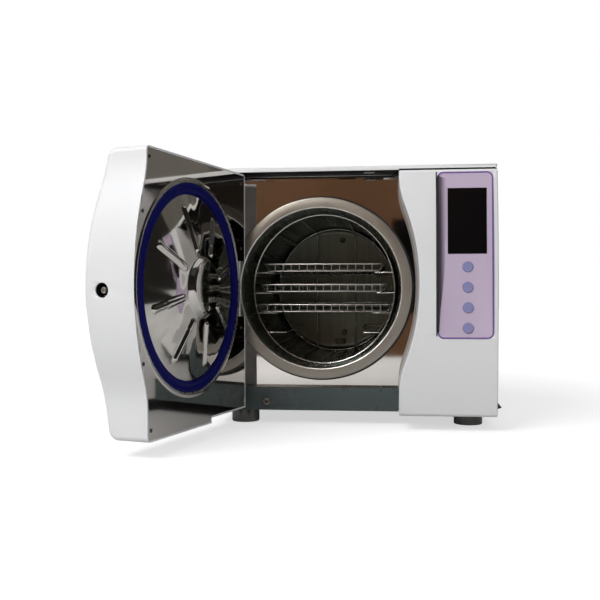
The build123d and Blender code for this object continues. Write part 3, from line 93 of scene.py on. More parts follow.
def grain(tree, where, scale, detail=4.0, stretch=(1, 1, 1)):
    """Noise, drawn out along an axis where stretch is small."""
    mapping = tree.nodes.new("ShaderNodeMapping")
    mapping.inputs["Scale"].default_value = stretch
    noise = tree.nodes.new("ShaderNodeTexNoise")
    noise.inputs["Scale"].default_value = scale
    noise.inputs["Detail"].default_value = detail
    tree.links.new(where, mapping.inputs["Vector"])
    tree.links.new(mapping.outputs["Vector"], noise.inputs["Vector"])
    return noise.outputs["Fac"]


def tint(tree, surface, fac, dark, light, low=0.35, high=0.65):
    """Colour between two tones over the noise's middle range."""
    ramp = tree.nodes.new("ShaderNodeValToRGB")
    ramp.color_ramp.elements[0].position = low
    ramp.color_ramp.elements[0].color = (*dark, 1)
    ramp.color_ramp.elements[1].position = high
    ramp.color_ramp.elements[1].color = (*light, 1)
    tree.links.new(fac, ramp.inputs["Fac"])
    tree.links.new(ramp.outputs["Color"], surface.inputs["Base Color"])


def spread(tree, fac, socket, low, high):
    """A number that wanders between two values with the noise."""
    span = tree.nodes.new("ShaderNodeMapRange")
    span.inputs["From Min"].default_value = 0.3
    span.inputs["From Max"].default_value = 0.7
    span.inputs["To Min"].default_value = low
    span.inputs["To Max"].default_value = high
    tree.links.new(fac, span.inputs["Value"])
    tree.links.new(span.outputs["Result"], socket)


def relief(tree, surface, fac, depth, strength=1.0):
    """Small heights and hollows, as deep as depth in metres."""
    bump = tree.nodes.new("ShaderNodeBump")
    bump.inputs["Distance"].default_value = depth
    bump.inputs["Strength"].default_value = strength
    tree.links.new(fac, bump.inputs["Height"])
    tree.links.new(bump.outputs["Normal"], surface.inputs["Normal"])


def shades(colour, change):
    """A darker and a lighter tone of a colour."""
    return [max(0, c * (1 - change)) for c in colour], [min(1, c * (1 + change)) for c in colour]


def enamel(name, colour, rough=0.32):
    """Sprayed enamel with a fine orange peel."""
    finish, tree, surface, where = new_finish(name, colour, rough)
    tint(tree, surface, grain(tree, where, scale=6), *shades(colour, 0.03))
    spread(tree, grain(tree, where, scale=30), surface.inputs["Roughness"], rough - 0.05, rough + 0.07)
    relief(tree, surface, grain(tree, where, scale=900, detail=2), depth=0.00004, strength=0.5)
    return finish


def moulding(name, colour, rough, texture=0.00002, shine=0.5):
    """Moulded plastic or rubber: nearly even colour and a fine skin."""
    finish, tree, surface, where = new_finish(name, colour, rough)
    surface.inputs["Specular IOR Level"].default_value = shine
    tint(tree, surface, grain(tree, where, scale=5), *shades(colour, 0.025))
    spread(tree, grain(tree, where, scale=40), surface.inputs["Roughness"], rough - 0.04, rough + 0.06)
    relief(tree, surface, grain(tree, where, scale=1600, detail=3), texture, strength=0.5)
    return finish


def faded(name, near, far, start, end, rough):
    """Moulded plastic whose colour fades from one place to another, from left to right."""
    finish, tree, surface, where = new_finish(name, near, rough)
    split = tree.nodes.new("ShaderNodeSeparateXYZ")
    tree.links.new(where, split.inputs[0])
    fade = tree.nodes.new("ShaderNodeMapRange")
    fade.inputs["From Min"].default_value = start
    fade.inputs["From Max"].default_value = end
    tree.links.new(split.outputs["X"], fade.inputs["Value"])
    tint(tree, surface, fade.outputs["Result"], near, far, low=0.0, high=1.0)
    spread(tree, grain(tree, where, scale=40), surface.inputs["Roughness"], rough - 0.04, rough + 0.06)
    return finish


def polished(name, colour, rough, smear):
    """Mirror steel with faint wiping marks and a slight waviness."""
    finish, tree, surface, where = new_finish(name, colour, rough, 1.0)
    marks = grain(tree, where, scale=9, detail=6, stretch=(1, 1, 2.5))
    tint(tree, surface, marks, *shades(colour, 0.05))
    spread(tree, marks, surface.inputs["Roughness"], rough, rough + smear)
    relief(tree, surface, grain(tree, where, scale=7, detail=1), depth=0.0006, strength=0.25)
    return finish


def brushed(name, colour, rough, stretch=(1, 1, 1), scale=14):
    """Metal with a fine grain, drawn along one direction where stretch isn't even."""
    finish, tree, surface, where = new_finish(name, colour, rough, 1.0)
    lines = grain(tree, where, scale, detail=8, stretch=stretch)
    tint(tree, surface, lines, *shades(colour, 0.12))
    spread(tree, lines, surface.inputs["Roughness"], rough - 0.06, rough + 0.1)
    relief(tree, surface, lines, depth=0.00003, strength=0.6)
    return finish


def turned(name, colour, rough):
    """Steel with turning marks in circles about the chamber's axis."""
    finish, tree, surface, where = new_finish(name, colour, rough, 1.0)
    centre = tree.nodes.new("ShaderNodeMapping")
    centre.vector_type = "POINT"
    centre.inputs["Location"].default_value = (-mouth.x, 0, -mouth.z)
    flat = tree.nodes.new("ShaderNodeVectorMath")
    flat.operation = "MULTIPLY"
    flat.inputs[1].default_value = (1, 0, 1)
    reach = tree.nodes.new("ShaderNodeVectorMath")
    reach.operation = "LENGTH"
    circles = tree.nodes.new("ShaderNodeTexNoise")
    circles.noise_dimensions = "1D"
    circles.inputs["Scale"].default_value = 1400
    circles.inputs["Detail"].default_value = 3
    tree.links.new(where, centre.inputs["Vector"])
    tree.links.new(centre.outputs["Vector"], flat.inputs[0])
    tree.links.new(flat.outputs["Vector"], reach.inputs[0])
    tree.links.new(reach.outputs["Value"], circles.inputs["W"])
    tint(tree, surface, circles.outputs["Fac"], *shades(colour, 0.1))
    spread(tree, grain(tree, where, scale=12), surface.inputs["Roughness"], rough - 0.05, rough + 0.08)
    relief(tree, surface, circles.outputs["Fac"], depth=0.00006, strength=0.5)
    return finish


def cast(name, colour, rough, grit=260, depth=0.0002):
    """A rough cast or sprayed body."""
    finish, tree, surface, where = new_finish(name, colour, rough)
    tint(tree, surface, grain(tree, where, scale=25), *shades(colour, 0.15))
    relief(tree, surface, grain(tree, where, grit, detail=5), depth, strength=0.6)
    return finish


def wool(name, colour):
    """A wrapped insulating blanket, with its lay and tufts."""
    finish, tree, surface, where = new_finish(name, colour, 0.95)
    tint(tree, surface, grain(tree, where, scale=45, detail=8), *shades(colour, 0.25))
    relief(tree, surface, grain(tree, where, scale=180, detail=6, stretch=(1, 0.3, 1)), depth=0.001)
    return finish


def circuit(name, colour):
    """A circuit board: lacquer over a faint pattern of tracks."""
    finish, tree, surface, where = new_finish(name, colour, 0.35)
    tracks = tree.nodes.new("ShaderNodeTexBrick")
    tracks.inputs["Scale"].default_value = 90
    tracks.inputs["Mortar Size"].default_value = 0.05
    tracks.inputs["Color1"].default_value = (*colour, 1)
    tracks.inputs["Color2"].default_value = (*[c * 0.8 for c in colour], 1)
    tracks.inputs["Mortar"].default_value = (*[min(1, c * 2.2) for c in colour], 1)
    tree.links.new(where, tracks.inputs["Vector"])
    tree.links.new(tracks.outputs["Color"], surface.inputs["Base Color"])
    return finish


white_enamel = enamel("white_enamel", (0.82, 0.82, 0.81))
base_enamel = enamel("base_enamel", (0.060, 0.080, 0.080), 0.3)

mirror_steel = polished("mirror_steel", (0.66, 0.63, 0.60), 0.03, smear=0.03)
disc_steel = polished("disc_steel", (0.66, 0.63, 0.59), 0.04, smear=0.03)
wire_steel = polished("wire_steel", (0.72, 0.71, 0.69), 0.16, smear=0.06)
rack_wire = polished("rack_wire", (0.74, 0.73, 0.71), 0.18, smear=0.08)
tray_wire = polished("tray_wire", (0.66, 0.64, 0.61), 0.24, smear=0.08)

ring_steel = turned("ring_steel", (0.385, 0.36, 0.315), 0.36)
# A lighter steel that paints highlights along edges that catch the light.
edge_highlight_steel = brushed("edge_highlight_steel", (0.92, 0.89, 0.84), 0.34, scale=160)
# The chamber's two steels are darkened as painted shade deep inside it; the end wall's tone is lighter, with less
# painted shade.
shaded_pot_steel = brushed("shaded_pot_steel", (0.15, 0.185, 0.16), 0.26, stretch=(1, 0.02, 1), scale=60)
shaded_pot_end_steel = brushed("shaded_pot_end_steel", (0.21, 0.225, 0.185), 0.36, stretch=(1, 1, 0.02), scale=90)
channel_steel = brushed("channel_steel", (0.55, 0.54, 0.52), 0.28, scale=200)
dark_steel = brushed("dark_steel", (0.16, 0.13, 0.11), 0.4, scale=200)
sheet_steel = brushed("sheet_steel", (0.45, 0.46, 0.46), 0.35, stretch=(1, 60, 1))
screw_steel = brushed("screw_steel", (0.50, 0.49, 0.47), 0.3, scale=300)
heater_band = brushed("heater_band", (0.60, 0.58, 0.53), 0.35, stretch=(1, 40, 1))
fin_metal = brushed("fin_metal", (0.66, 0.66, 0.66), 0.3, stretch=(40, 1, 1))
plain_brass = brushed("plain_brass", (0.62, 0.44, 0.17), 0.3, scale=120)
port_copper = brushed("port_copper", (0.66, 0.52, 0.44), 0.45, scale=300)

# The slope's dark tone, and where it fades to lilac, paint the shade on the hollow's wall.
lilac, slope_painted_shade = (0.56, 0.455, 0.595), (0.085, 0.066, 0.085)
painted_shade_from_x, painted_shade_to_x = 0.1740, 0.1825

white_moulding = moulding("white_moulding", (0.80, 0.80, 0.805), 0.34)
black_moulding = moulding("black_moulding", (0.018, 0.018, 0.02), 0.42)
filter_moulding = moulding("filter_moulding", (0.74, 0.74, 0.72), 0.4)
natural_tank = moulding("natural_tank", (0.66, 0.70, 0.72), 0.45)
rocker_gloss = moulding("rocker_gloss", (0.004, 0.045, 0.025), 0.2)
lilac_film = moulding("lilac_film", lilac, 0.5, texture=0.00003)
violet_line = moulding("violet_line", (0.19, 0.095, 0.34), 0.4)
# A darker tone as painted shade on the panel's inner walls.
panel_wall_painted_shade = moulding("panel_wall_painted_shade", (0.17, 0.13, 0.17), 0.5)
lilac_with_painted_shade = faded("lilac_with_painted_shade", slope_painted_shade, lilac, painted_shade_from_x, painted_shade_to_x, 0.5)
# Near-black as painted shade in the panel's gap and on the rim beside the slope.
painted_shade_grey = moulding("painted_shade_grey", (0.025, 0.022, 0.026), 0.6, shine=0.2)
# Near-black strips that paint the shadow in the hood's gaps.
gap_shadow_black = moulding("gap_shadow_black", (0.004, 0.004, 0.005), 0.6, shine=0.05)
# Near-black as painted shade in the keeper's hollow.
cup_painted_shade_black = moulding("cup_painted_shade_black", (0.006, 0.006, 0.006), 0.5, texture=0.00003, shine=0.2)
button_skin = moulding("button_skin", (0.25, 0.245, 0.46), 0.5, texture=0.00008)
display_glass = moulding("display_glass", (0.003, 0.003, 0.004), 0.12, texture=0.0, shine=0.25)
gasket_rubber = moulding("gasket_rubber", (0.002, 0.003, 0.105), 0.5, texture=0.00003, shine=0.12)

foot_rubber = cast("foot_rubber", (0.20, 0.20, 0.185), 0.34, grit=900, depth=0.00003)
pump_paint = cast("pump_paint", (0.12, 0.13, 0.14), 0.5)
board_lacquer = circuit("board_lacquer", (0.02, 0.10, 0.035))
jacket_wool = wool("jacket_wool", (0.62, 0.60, 0.50))

node_finishes = {
    "chamber_ring": ring_steel, "chamber_vessel": shaded_pot_steel, "chamber_fittings": screw_steel,
    "band_heaters": heater_band, "insulation_jacket": jacket_wool, "vessel_saddles": sheet_steel,
    "base_chassis": base_enamel, "front_plate": mirror_steel, "hood": white_enamel,
    "rear_panel": white_enamel, "feet": foot_rubber, "control_fascia": white_moulding,
    "control_panel": lilac_film, "display_window": display_glass, "display_board": board_lacquer,
    "button_1": button_skin, "button_2": button_skin, "button_3": button_skin, "button_4": button_skin,
    "keypad_board": board_lacquer, "lock_housing": sheet_steel, "lock_bolt": screw_steel,
    "door_switch": black_moulding, "hinge_plates": sheet_steel, "hinge_pins": screw_steel,
    "door_shell": white_moulding, "door_panel": mirror_steel, "gasket_channel": sheet_steel,
    "door_gasket": gasket_rubber, "door_disc": disc_steel, "door_beam": sheet_steel,
    "lock_keeper": sheet_steel, "door_screws": screw_steel, "tray_rack": wire_steel,
    "tray_upper": wire_steel, "tray_middle": wire_steel, "tray_lower": wire_steel,
    "bay_frame": sheet_steel, "clean_water_tank": natural_tank, "used_water_tank": natural_tank,
    "tank_lid": white_moulding, "lid_hinge": white_moulding, "rocker_housing": black_moulding,
    "power_rocker": rocker_gloss, "vacuum_pump": pump_paint, "steam_generator": heater_band,
    "water_pump": pump_paint, "power_supply": sheet_steel, "solenoid_valves": plain_brass,
    "fan_frame": black_moulding, "fan_rotor": black_moulding, "condenser": fin_metal,
    "main_board": board_lacquer, "mains_inlet": black_moulding, "air_filter": filter_moulding,
    "safety_valve": plain_brass, "hose_barbs": plain_brass, "drain_port": screw_steel,
    "hood_screws": screw_steel, "rear_screws": screw_steel,
}
for node, finish in node_finishes.items():
    node_object = frame["nodes"][node]
    node_object.data.materials.clear()
    node_object.data.materials.append(finish)


# ---- making pieces

weld_reach = 0.005
node_bodies = {node: body for body, group in frame["record"]["behaviour"]["bodies"].items()
               for node in group}


def only(piece):
    """Selects one piece and nothing else."""
    bpy.ops.object.select_all(action="DESELECT")
    piece.select_set(True)
    bpy.context.view_layer.objects.active = piece


def edit(piece):
    """Opens a piece for shaping, with all of it selected."""
    only(piece)
    bpy.ops.object.mode_set(mode="EDIT")
    bpy.ops.mesh.select_mode(type="VERT")
    bpy.ops.mesh.select_all(action="SELECT")


def choose(piece, wanted):
    """Opens a piece with only those corners selected whose place is wanted."""
    edit(piece)
    bpy.ops.mesh.select_all(action="DESELECT")
    leave()
    for vertex in piece.data.vertices:
        vertex.select = wanted(vertex.co)
    bpy.ops.object.mode_set(mode="EDIT")


def leave():
    """Closes the piece that is being shaped."""
    bpy.ops.object.mode_set(mode="OBJECT")


def draw_line(points):
    """Edges through the points, drawn out of a single corner; the piece stays in edit mode."""
    bpy.ops.object.select_all(action="DESELECT")
    bpy.ops.mesh.primitive_plane_add(size=1)
    bpy.ops.object.mode_set(mode="EDIT")
    bpy.ops.mesh.select_mode(type="VERT")
    bpy.ops.mesh.select_all(action="SELECT")
    bpy.ops.mesh.merge(type="CENTER")
    bpy.ops.transform.translate(value=points[0])
    for here, there in zip(points, points[1:]):
        bpy.ops.mesh.extrude_region_move(TRANSFORM_OT_translate={"value": Vector(there) - Vector(here)})
    bpy.ops.mesh.select_all(action="SELECT")
    return bpy.context.object


def arc(centre, radius, start, end, steps):
    """Points of a profile along an arc, in degrees from the radius towards the depth."""
    span = [radians(start + (end - start) * i / steps) for i in range(steps + 1)]
    return [(centre[0] + radius * cos(turn), centre[1] + radius * sin(turn)) for turn in span]


def lathe(profile, steps, middle=(0, 0), sideways=False):
    """A profile of radius and depth, spun about an axis that runs from the front to the back, or
    from the left to the right."""
    if sideways:
        piece = draw_line([(x, middle[0] + r, middle[1]) for r, x in profile])
        bpy.ops.mesh.spin(steps=steps, angle=2 * pi, center=(0, middle[0], middle[1]), axis=(1, 0, 0))
    else:
        piece = draw_line([(middle[0] + r, y, middle[1]) for r, y in profile])
        bpy.ops.mesh.spin(steps=steps, angle=2 * pi, center=(middle[0], 0, middle[1]), axis=(0, 1, 0))
    bpy.ops.mesh.select_all(action="SELECT")
    bpy.ops.mesh.remove_doubles(threshold=weld_reach)
    bpy.ops.mesh.normals_make_consistent(inside=False)
    leave()
    return piece


def tube(piece, radius, detail=2):
    """Gives a line of edges the thickness of a round wire."""
    only(piece)
    bpy.ops.object.convert(target="CURVE")
    line = bpy.context.object
    line.data.bevel_depth = radius
    line.data.bevel_resolution = detail
    line.data.use_fill_caps = True
    bpy.ops.object.convert(target="MESH")
    return bpy.context.object


def wire(points, radius, bend=0.0, detail=2):
    """Round wire along straight runs, with rounded bends."""
    piece = draw_line(points)
    if bend:
        bpy.ops.mesh.bevel(offset=bend, segments=4, affect="VERTICES")
    leave()
    return tube(piece, radius, detail)


def frame_wire(half_w, front, rear, z, bend, radius, detail=2):
    """A wire bent round into a level rectangle with rounded corners."""
    bpy.ops.object.select_all(action="DESELECT")
    bpy.ops.mesh.primitive_plane_add(size=2, location=(0, (front + rear) / 2, z))
    piece = bpy.context.object
    piece.scale = (half_w, (rear - front) / 2, 1)
    bpy.ops.object.transform_apply(location=True, rotation=True, scale=True)
    edit(piece)
    bpy.ops.mesh.bevel(offset=bend, segments=5, affect="VERTICES")
    bpy.ops.mesh.delete(type="ONLY_FACE")
    leave()
    return tube(piece, radius, detail)


def repeat(piece, count, step):
    """A row of copies of a piece."""
    row = piece.modifiers.new("row", "ARRAY")
    row.count = count
    row.use_relative_offset = False
    row.use_constant_offset = True
    row.constant_offset_displace = step
    only(piece)
    bpy.ops.object.modifier_apply(modifier=row.name)
    return piece


def mirrored(piece):
    """The same piece on the other side of the machine's middle."""
    only(piece)
    bpy.ops.object.duplicate(linked=False)
    twin = bpy.context.object
    twin.scale = (-1, 1, 1)
    bpy.ops.object.transform_apply(location=True, rotation=True, scale=True)
    edit(twin)
    bpy.ops.mesh.normals_make_consistent(inside=False)
    leave()
    return twin


def joined(pieces):
    """Several pieces made into one."""
    bpy.ops.object.select_all(action="DESELECT")
    for piece in pieces:
        piece.select_set(True)
    bpy.context.view_layer.objects.active = pieces[0]
    if len(pieces) > 1:
        bpy.ops.object.join()
    return bpy.context.object


def settle(piece, name, body, finish, nodes=(), swung=False, angle=35):
    """Shrinks a piece from millimetres, puts it in its place, turned open where it belongs to the
    door, and lets it ride on its body. It smooths every edge below the angle."""
    piece.name = name
    place = Matrix.Translation(mouth) @ Matrix.Scale(0.001, 4)
    if swung:
        place = door_swing @ place
    only(piece)
    piece.matrix_world = place @ piece.matrix_world
    bpy.ops.object.transform_apply(location=True, rotation=True, scale=True)
    bpy.ops.object.shade_smooth_by_angle(angle=radians(angle))
    piece.data.materials.clear()
    piece.data.materials.append(finish)
    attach(piece, body)
    if nodes:
        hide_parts(*nodes)
    return piece


def even_normals(piece):
    """Lets the large faces set how the light falls over their rounded edges."""
    weigh = piece.modifiers.new("even", "WEIGHTED_NORMAL")
    weigh.keep_sharp = True
    only(piece)
    bpy.ops.object.modifier_apply(modifier=weigh.name)


def smooth_copy(node, angle=32):
    """A node's own shape with its triangles joined, so that its curves shade evenly."""
    only(frame["nodes"][node])
    bpy.ops.object.duplicate(linked=False)
    piece = bpy.context.object
    piece.name = node + "_smooth"
    edit(piece)
    bpy.ops.mesh.remove_doubles(threshold=0.00001)
    leave()
    bpy.ops.object.shade_smooth_by_angle(angle=radians(angle))
    even_normals(piece)
    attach(piece, node_bodies[node])
    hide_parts(node)
    return piece


# ---- chamber

bore, mouth_edge, mouth_back = 125.0, 141.9, 22.0
pot_round, pot_outer, pot_end = 113.0, 127.5, 395.0


def make_chamber():
    """The turned mouth with its inner edge in lighter steel as a painted highlight, a black ring round it as a
    painted shadow line, and the drawn pot with its weld bead, its steel darkened as painted shade.
    """
    mouth_face = ([(bore, mouth_back), (bore, 2.0)] + arc((bore + 2.0, 2.0), 2.0, 180, 270, 6)[1:]
                  + arc((mouth_edge - 1.5, 1.5), 1.5, 270, 360, 4)
                  + [(mouth_edge, mouth_back), (bore, mouth_back)])
    ring = settle(lathe(mouth_face, 200), "mouth_ring", "casing", ring_steel, ["chamber_ring"])
    ring.data.materials.append(edge_highlight_steel)
    # Faces on the ring's inner fillet take the lighter steel: a painted highlight.
    highlight_reach, highlight_depth = 0.1269, 0.0021
    for face in ring.data.polygons:
        from_axis = hypot(face.center.x - mouth.x, face.center.z - mouth.z)
        if from_axis < highlight_reach and face.center.y < mouth.y + highlight_depth:
            face.material_index = 1
    # A black ring just outside the mouth: a painted shadow line round it.
    seal = [(142.0, 20.2), (142.0, 19.2), (145.2, 19.2), (145.6, 19.6), (145.6, 20.2), (142.0, 20.2)]
    settle(lathe(seal, 160), "mouth_shadow_ring", "casing", black_moulding)

    bead = [(bore, 393.6), (124.3, 393.9), (123.8, 394.6), (123.7, 395.2), (124.0, 395.9), (bore, 396.3)]
    wall = ([(0, 407.0), (60.0, 407.0)] + arc((pot_round, pot_end), 12.0, 90, 8, 8) + bead[::-1]
            + [(bore, 200.0), (bore, mouth_back), (pot_outer, mouth_back), (pot_outer, pot_end)]
            + arc((pot_round, pot_end), 14.5, 0, 90, 6)[1:] + [(0, 409.5)])
    pot = settle(lathe(wall, 128), "chamber_pot", "casing", shaded_pot_steel, ["chamber_vessel"])
    pot.data.materials.append(shaded_pot_end_steel)
    # The end wall's faces take the lighter of the two painted-shade tones.
    end_wall = 0.3995
    for face in pot.data.polygons:
        if face.center.y > mouth.y + end_wall:
            face.material_index = 1


def make_fittings():
    """The steam nozzle, two probes and the strainer over the drain, on the chamber's end wall."""
    parts = []
    for x, z, r in ((12.0, 100.0, 5.0), (15.0, -88.0, 5.5), (60.0, -76.0, 6.0)):
        profile = [(r * 0.55, 403.0), (r * 0.5, 399.4), (r * 0.8, 399.0), (r, 399.8), (r, 407.0),
                   (r * 0.55, 407.0), (r * 0.55, 403.0)]
        parts.append(lathe(profile, 24, (x, z)))
    bpy.ops.object.select_all(action="DESELECT")
    bpy.ops.mesh.primitive_cube_add(size=2, location=(7.0, 399.0, -105.5))
    block = bpy.context.object
    block.scale = (10, 8, 4.5)
    bpy.ops.object.transform_apply(location=True, rotation=True, scale=True)
    edit(block)
    bpy.ops.mesh.bevel(offset=1.2, segments=3)
    leave()
    settle(joined(parts + [block]), "wall_fittings", "casing", dark_steel, ["chamber_fittings"])


# ---- rack and trays

rack_front, rack_rear, rack_middle = 69.0, 385.0, -1.1
hoop_half_w, hoop_half_h = 115.8, 121.9
rail_levels, rail_reach = (25.9, -7.5, -40.3, -72.5), 31.6
post_turns, post_inset = (-47.6, -12.5, 20.8, 47.0), 0.6
hoop_thick, rack_thick = 1.45, 1.3


def rack_half_width(z):
    """How far the oval hoops reach to the side at a height."""
    return hoop_half_w * sqrt(1 - ((z - rack_middle) / hoop_half_h) ** 2)


def make_rack():
    """Two oval hoops, joined by long wires, tray rails and a loop over the top and bottom."""
    parts = []
    for hoop_y in (rack_front, rack_rear):
        bpy.ops.object.select_all(action="DESELECT")
        bpy.ops.mesh.primitive_circle_add(vertices=128, radius=1, location=(0, hoop_y, rack_middle),
                                          rotation=(pi / 2, 0, 0))
        hoop = bpy.context.object
        hoop.scale = (hoop_half_w, hoop_half_h, 1)
        bpy.ops.object.transform_apply(location=True, rotation=True, scale=True)
        parts.append(tube(hoop, hoop_thick, 3))
    one_side = []
    for turn in post_turns:
        z = hoop_half_h * sin(radians(turn)) + rack_middle
        x = rack_half_width(z) - post_inset
        one_side.append(wire([(x, rack_front - 1.0, z), (x, rack_rear + 1.0, z)], rack_thick))
    for level in rail_levels:
        edge = rack_half_width(level)
        rail = edge - rail_reach
        one_side.append(wire([(edge, rack_front, level), (rail, rack_front, level),
                              (rail, rack_rear, level), (edge, rack_rear, level)], rack_thick, 5.0))
    loop_x, loop_rear = 38.0, rack_rear + 2.8
    reach = hoop_half_h * sqrt(1 - (loop_x / hoop_half_w) ** 2) - 1.6
    top, bottom = rack_middle + reach, rack_middle - reach
    one_side.append(wire([(loop_x, rack_front, top), (loop_x, loop_rear, top),
                          (loop_x, loop_rear, bottom), (loop_x, rack_front, bottom)], rack_thick, 7.0))
    side = joined(one_side)
    parts += [side, mirrored(side)]
    settle(joined(parts), "wire_rack", "rack", rack_wire, ["tray_rack"], angle=50)


tray_front, tray_rear, tray_high = 58.0, 370.0, 15.0
rim_thick, floor_thick, bar_thick = 1.3, 0.9, 0.85
bar_pitch, cross_count, cross_inset = 13.2, 12, 16.0


def make_tray(which, width, level):
    """A basket of thin wires hung in a thicker rim."""
    foot, rim_z = level + 1.5, level + tray_high - rim_thick
    rim, floor_half = width / 2 - rim_thick, width / 2 - 7.0
    low, high = foot + floor_thick, foot + 2.4
    parts = [frame_wire(rim, tray_front + rim_thick, tray_rear - rim_thick, rim_z, 9.0, rim_thick, 3),
             frame_wire(floor_half, tray_front + 2.0, tray_rear - 2.0, low, 5.0, floor_thick)]
    bars = int(2 * floor_half / bar_pitch)
    bars = bars if bars % 2 else bars + 1
    first = -(bars - 1) / 2 * bar_pitch
    long_bar = wire([(first, tray_front + 1.0, rim_z), (first, tray_front + 1.0, low),
                     (first, tray_rear - 1.0, low), (first, tray_rear - 1.0, rim_z)], bar_thick, 2.0, 1)
    parts.append(repeat(long_bar, bars, (bar_pitch, 0, 0)))
    start = tray_front + cross_inset
    pitch = (tray_rear - cross_inset - start) / (cross_count - 1)
    cross = wire([(-rim, start, rim_z), (-floor_half, start, high), (floor_half, start, high),
                  (rim, start, rim_z)], bar_thick, 2.5, 1)
    parts.append(repeat(cross, cross_count, (0, pitch, 0)))
    settle(joined(parts), f"{which}_tray_basket", f"{which}_tray", tray_wire, [f"tray_{which}"],
           angle=60)


# ---- door

disc_edge, dome_start = 125.1, 42.0
dome_rings, rays = 58, 8


def dome_depth(radius):
    """Depth of the dished sheet, which is steeper towards its rim."""
    run = radius - dome_start
    return 12.9 - 0.178 * run - 0.00028 * run * run


def make_disc():
    """Polished dished steel with a raised hub, and eight pressed ribs with low swells between."""
    step = (disc_edge - dome_start) / dome_rings
    dome = [(disc_edge - step * i, dome_depth(disc_edge - step * i)) for i in range(dome_rings + 1)]
    hub = [(41.2, 13.2), (40.6, 13.6), (40.0, 14.2), (36.9, 18.5), (36.3, 19.0), (35.7, 19.2)]
    crown = [(35.0 * cos(radians(turn)), 19.2 + 2.8 * sin(radians(turn)))
             for turn in (6, 14, 22, 30, 40, 50, 60, 70, 80)]
    inside = [(0, 20.0), (33.0, 17.4), (36.0, 12.0), (80.0, 4.0), (disc_edge, -6.2)]
    disc = lathe(dome + hub + crown + [(0, 22.0)] + inside + [dome[0]], 420)
    swell, rib = (52.5, 64.0, 112.0, 1.4, 0.7, 22.0), (30.0, 51.5, 108.5, 1.9, 3.4, 4.4)
    for first, near, far, half_w, height, reach in (swell, rib):
        for ray in range(rays):
            choose_along(disc, first + ray * 360 / rays, near, far, half_w)
            raise_ridge(disc, height, reach)
    settle(disc, "pressure_disc", "door", disc_steel, ["door_disc"], swung=True, angle=60)


def choose_along(disc, angle, near, far, half_w):
    """Marks the front of the disc along one line out from its middle."""
    along = Vector((cos(radians(angle)), 0, sin(radians(angle))))
    for vertex in disc.data.vertices:
        place = Vector((vertex.co.x, 0, vertex.co.z))
        run = place.dot(along)
        aside = (place - along * run).length
        in_front = vertex.co.y > dome_depth(place.length) - 0.4
        vertex.select = near < run < far and aside < half_w and in_front


def raise_ridge(disc, height, reach):
    """Pulls the marked line up out of the sheet, and what lies within reach with it."""
    only(disc)
    bpy.ops.object.mode_set(mode="EDIT")
    bpy.ops.mesh.select_mode(type="VERT")
    bpy.ops.transform.translate(value=(0, height, 0), use_proportional_edit=True,
                                proportional_edit_falloff="SMOOTH", proportional_size=reach)
    bpy.ops.mesh.select_all(action="DESELECT")
    leave()


def make_gasket():
    """The two-lipped blue seal, the channel that holds it, and the narrow skirt outside both."""
    lips = [(125.4, -8.0), (125.4, -2.4), (125.8, -1.2), (126.8, -0.4), (128.2, -0.1), (129.6, -0.4),
            (130.6, -1.0), (131.4, -1.6), (132.6, -1.9), (133.6, -1.9), (134.8, -1.6), (135.6, -1.0),
            (136.6, -0.4), (138.0, -0.1), (139.4, -0.4), (140.3, -1.2), (140.7, -2.4), (140.7, -8.0),
            (125.4, -8.0)]
    settle(lathe(lips, 160), "silicone_seal", "door", gasket_rubber, ["door_gasket"],
           swung=True, angle=60)
    inner, outer, floor, seat, top = 140.9, 143.4, -10.2, -8.0, -0.9
    fold = [(r, min(y, top)) for r, y in arc((142.15, -1.2), 1.25, 180, 0, 6)[1:]]
    channel = [(outer, -1.2), (outer, floor), (125.4, floor), (125.4, seat), (inner, seat),
               (inner, -1.2)]
    settle(lathe(channel + fold, 160), "seal_channel", "door", channel_steel, ["gasket_channel"],
           swung=True, angle=50)
    skirt = [(143.45, -0.98), (143.45, -0.3), (143.7, -0.16), (144.1, -0.18), (147.2, -0.88),
             (147.5, -0.98), (143.45, -0.98)]
    settle(lathe(skirt, 200), "seal_skirt", "door", disc_steel, swung=True, angle=50)


lock_line = (-46.0, -3.5)


def make_lock_cup():
    """The keeper in the door's free edge: a cup coloured near-black as painted shade in its hollow, and the stud
    for the hollow bolt.
    """
    cup = [(0, 131.9), (8.6, 131.9), (8.9, 132.2), (8.9, 144.1), (9.2, 144.3), (11.5, 144.3),
           (11.7, 144.1), (11.7, 129.5), (0, 129.5)]
    settle(lathe(cup, 48, lock_line, True), "lock_cup", "door", cup_painted_shade_black, ["lock_keeper"], swung=True)
    stud = [(0, 131.8), (4.0, 131.8), (4.0, 143.2), (3.7, 143.7), (3.1, 143.9), (2.3, 143.8),
            (2.0, 143.4), (2.0, 141.0), (0, 140.6)]
    settle(lathe(stud, 32, lock_line, True), "lock_stud", "door", screw_steel, swung=True)


def make_lock_pin():
    """The bolt, bored out at its end so that it slides over the keeper's stud."""
    low, high = (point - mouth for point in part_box("lock_bolt"))
    left, right = low.x * 1000, high.x * 1000
    pin = [(0, left + 14.0), (4.6, left + 14.0), (4.6, left + 0.6), (4.9, left), (5.4, left),
           (6.0, left + 0.9), (6.0, right), (0, right)]
    middle = ((low.y + high.y) * 500, (low.z + high.z) * 500)
    settle(lathe(pin, 40, middle, True), "lock_pin", "bolt", screw_steel, ["lock_bolt"])


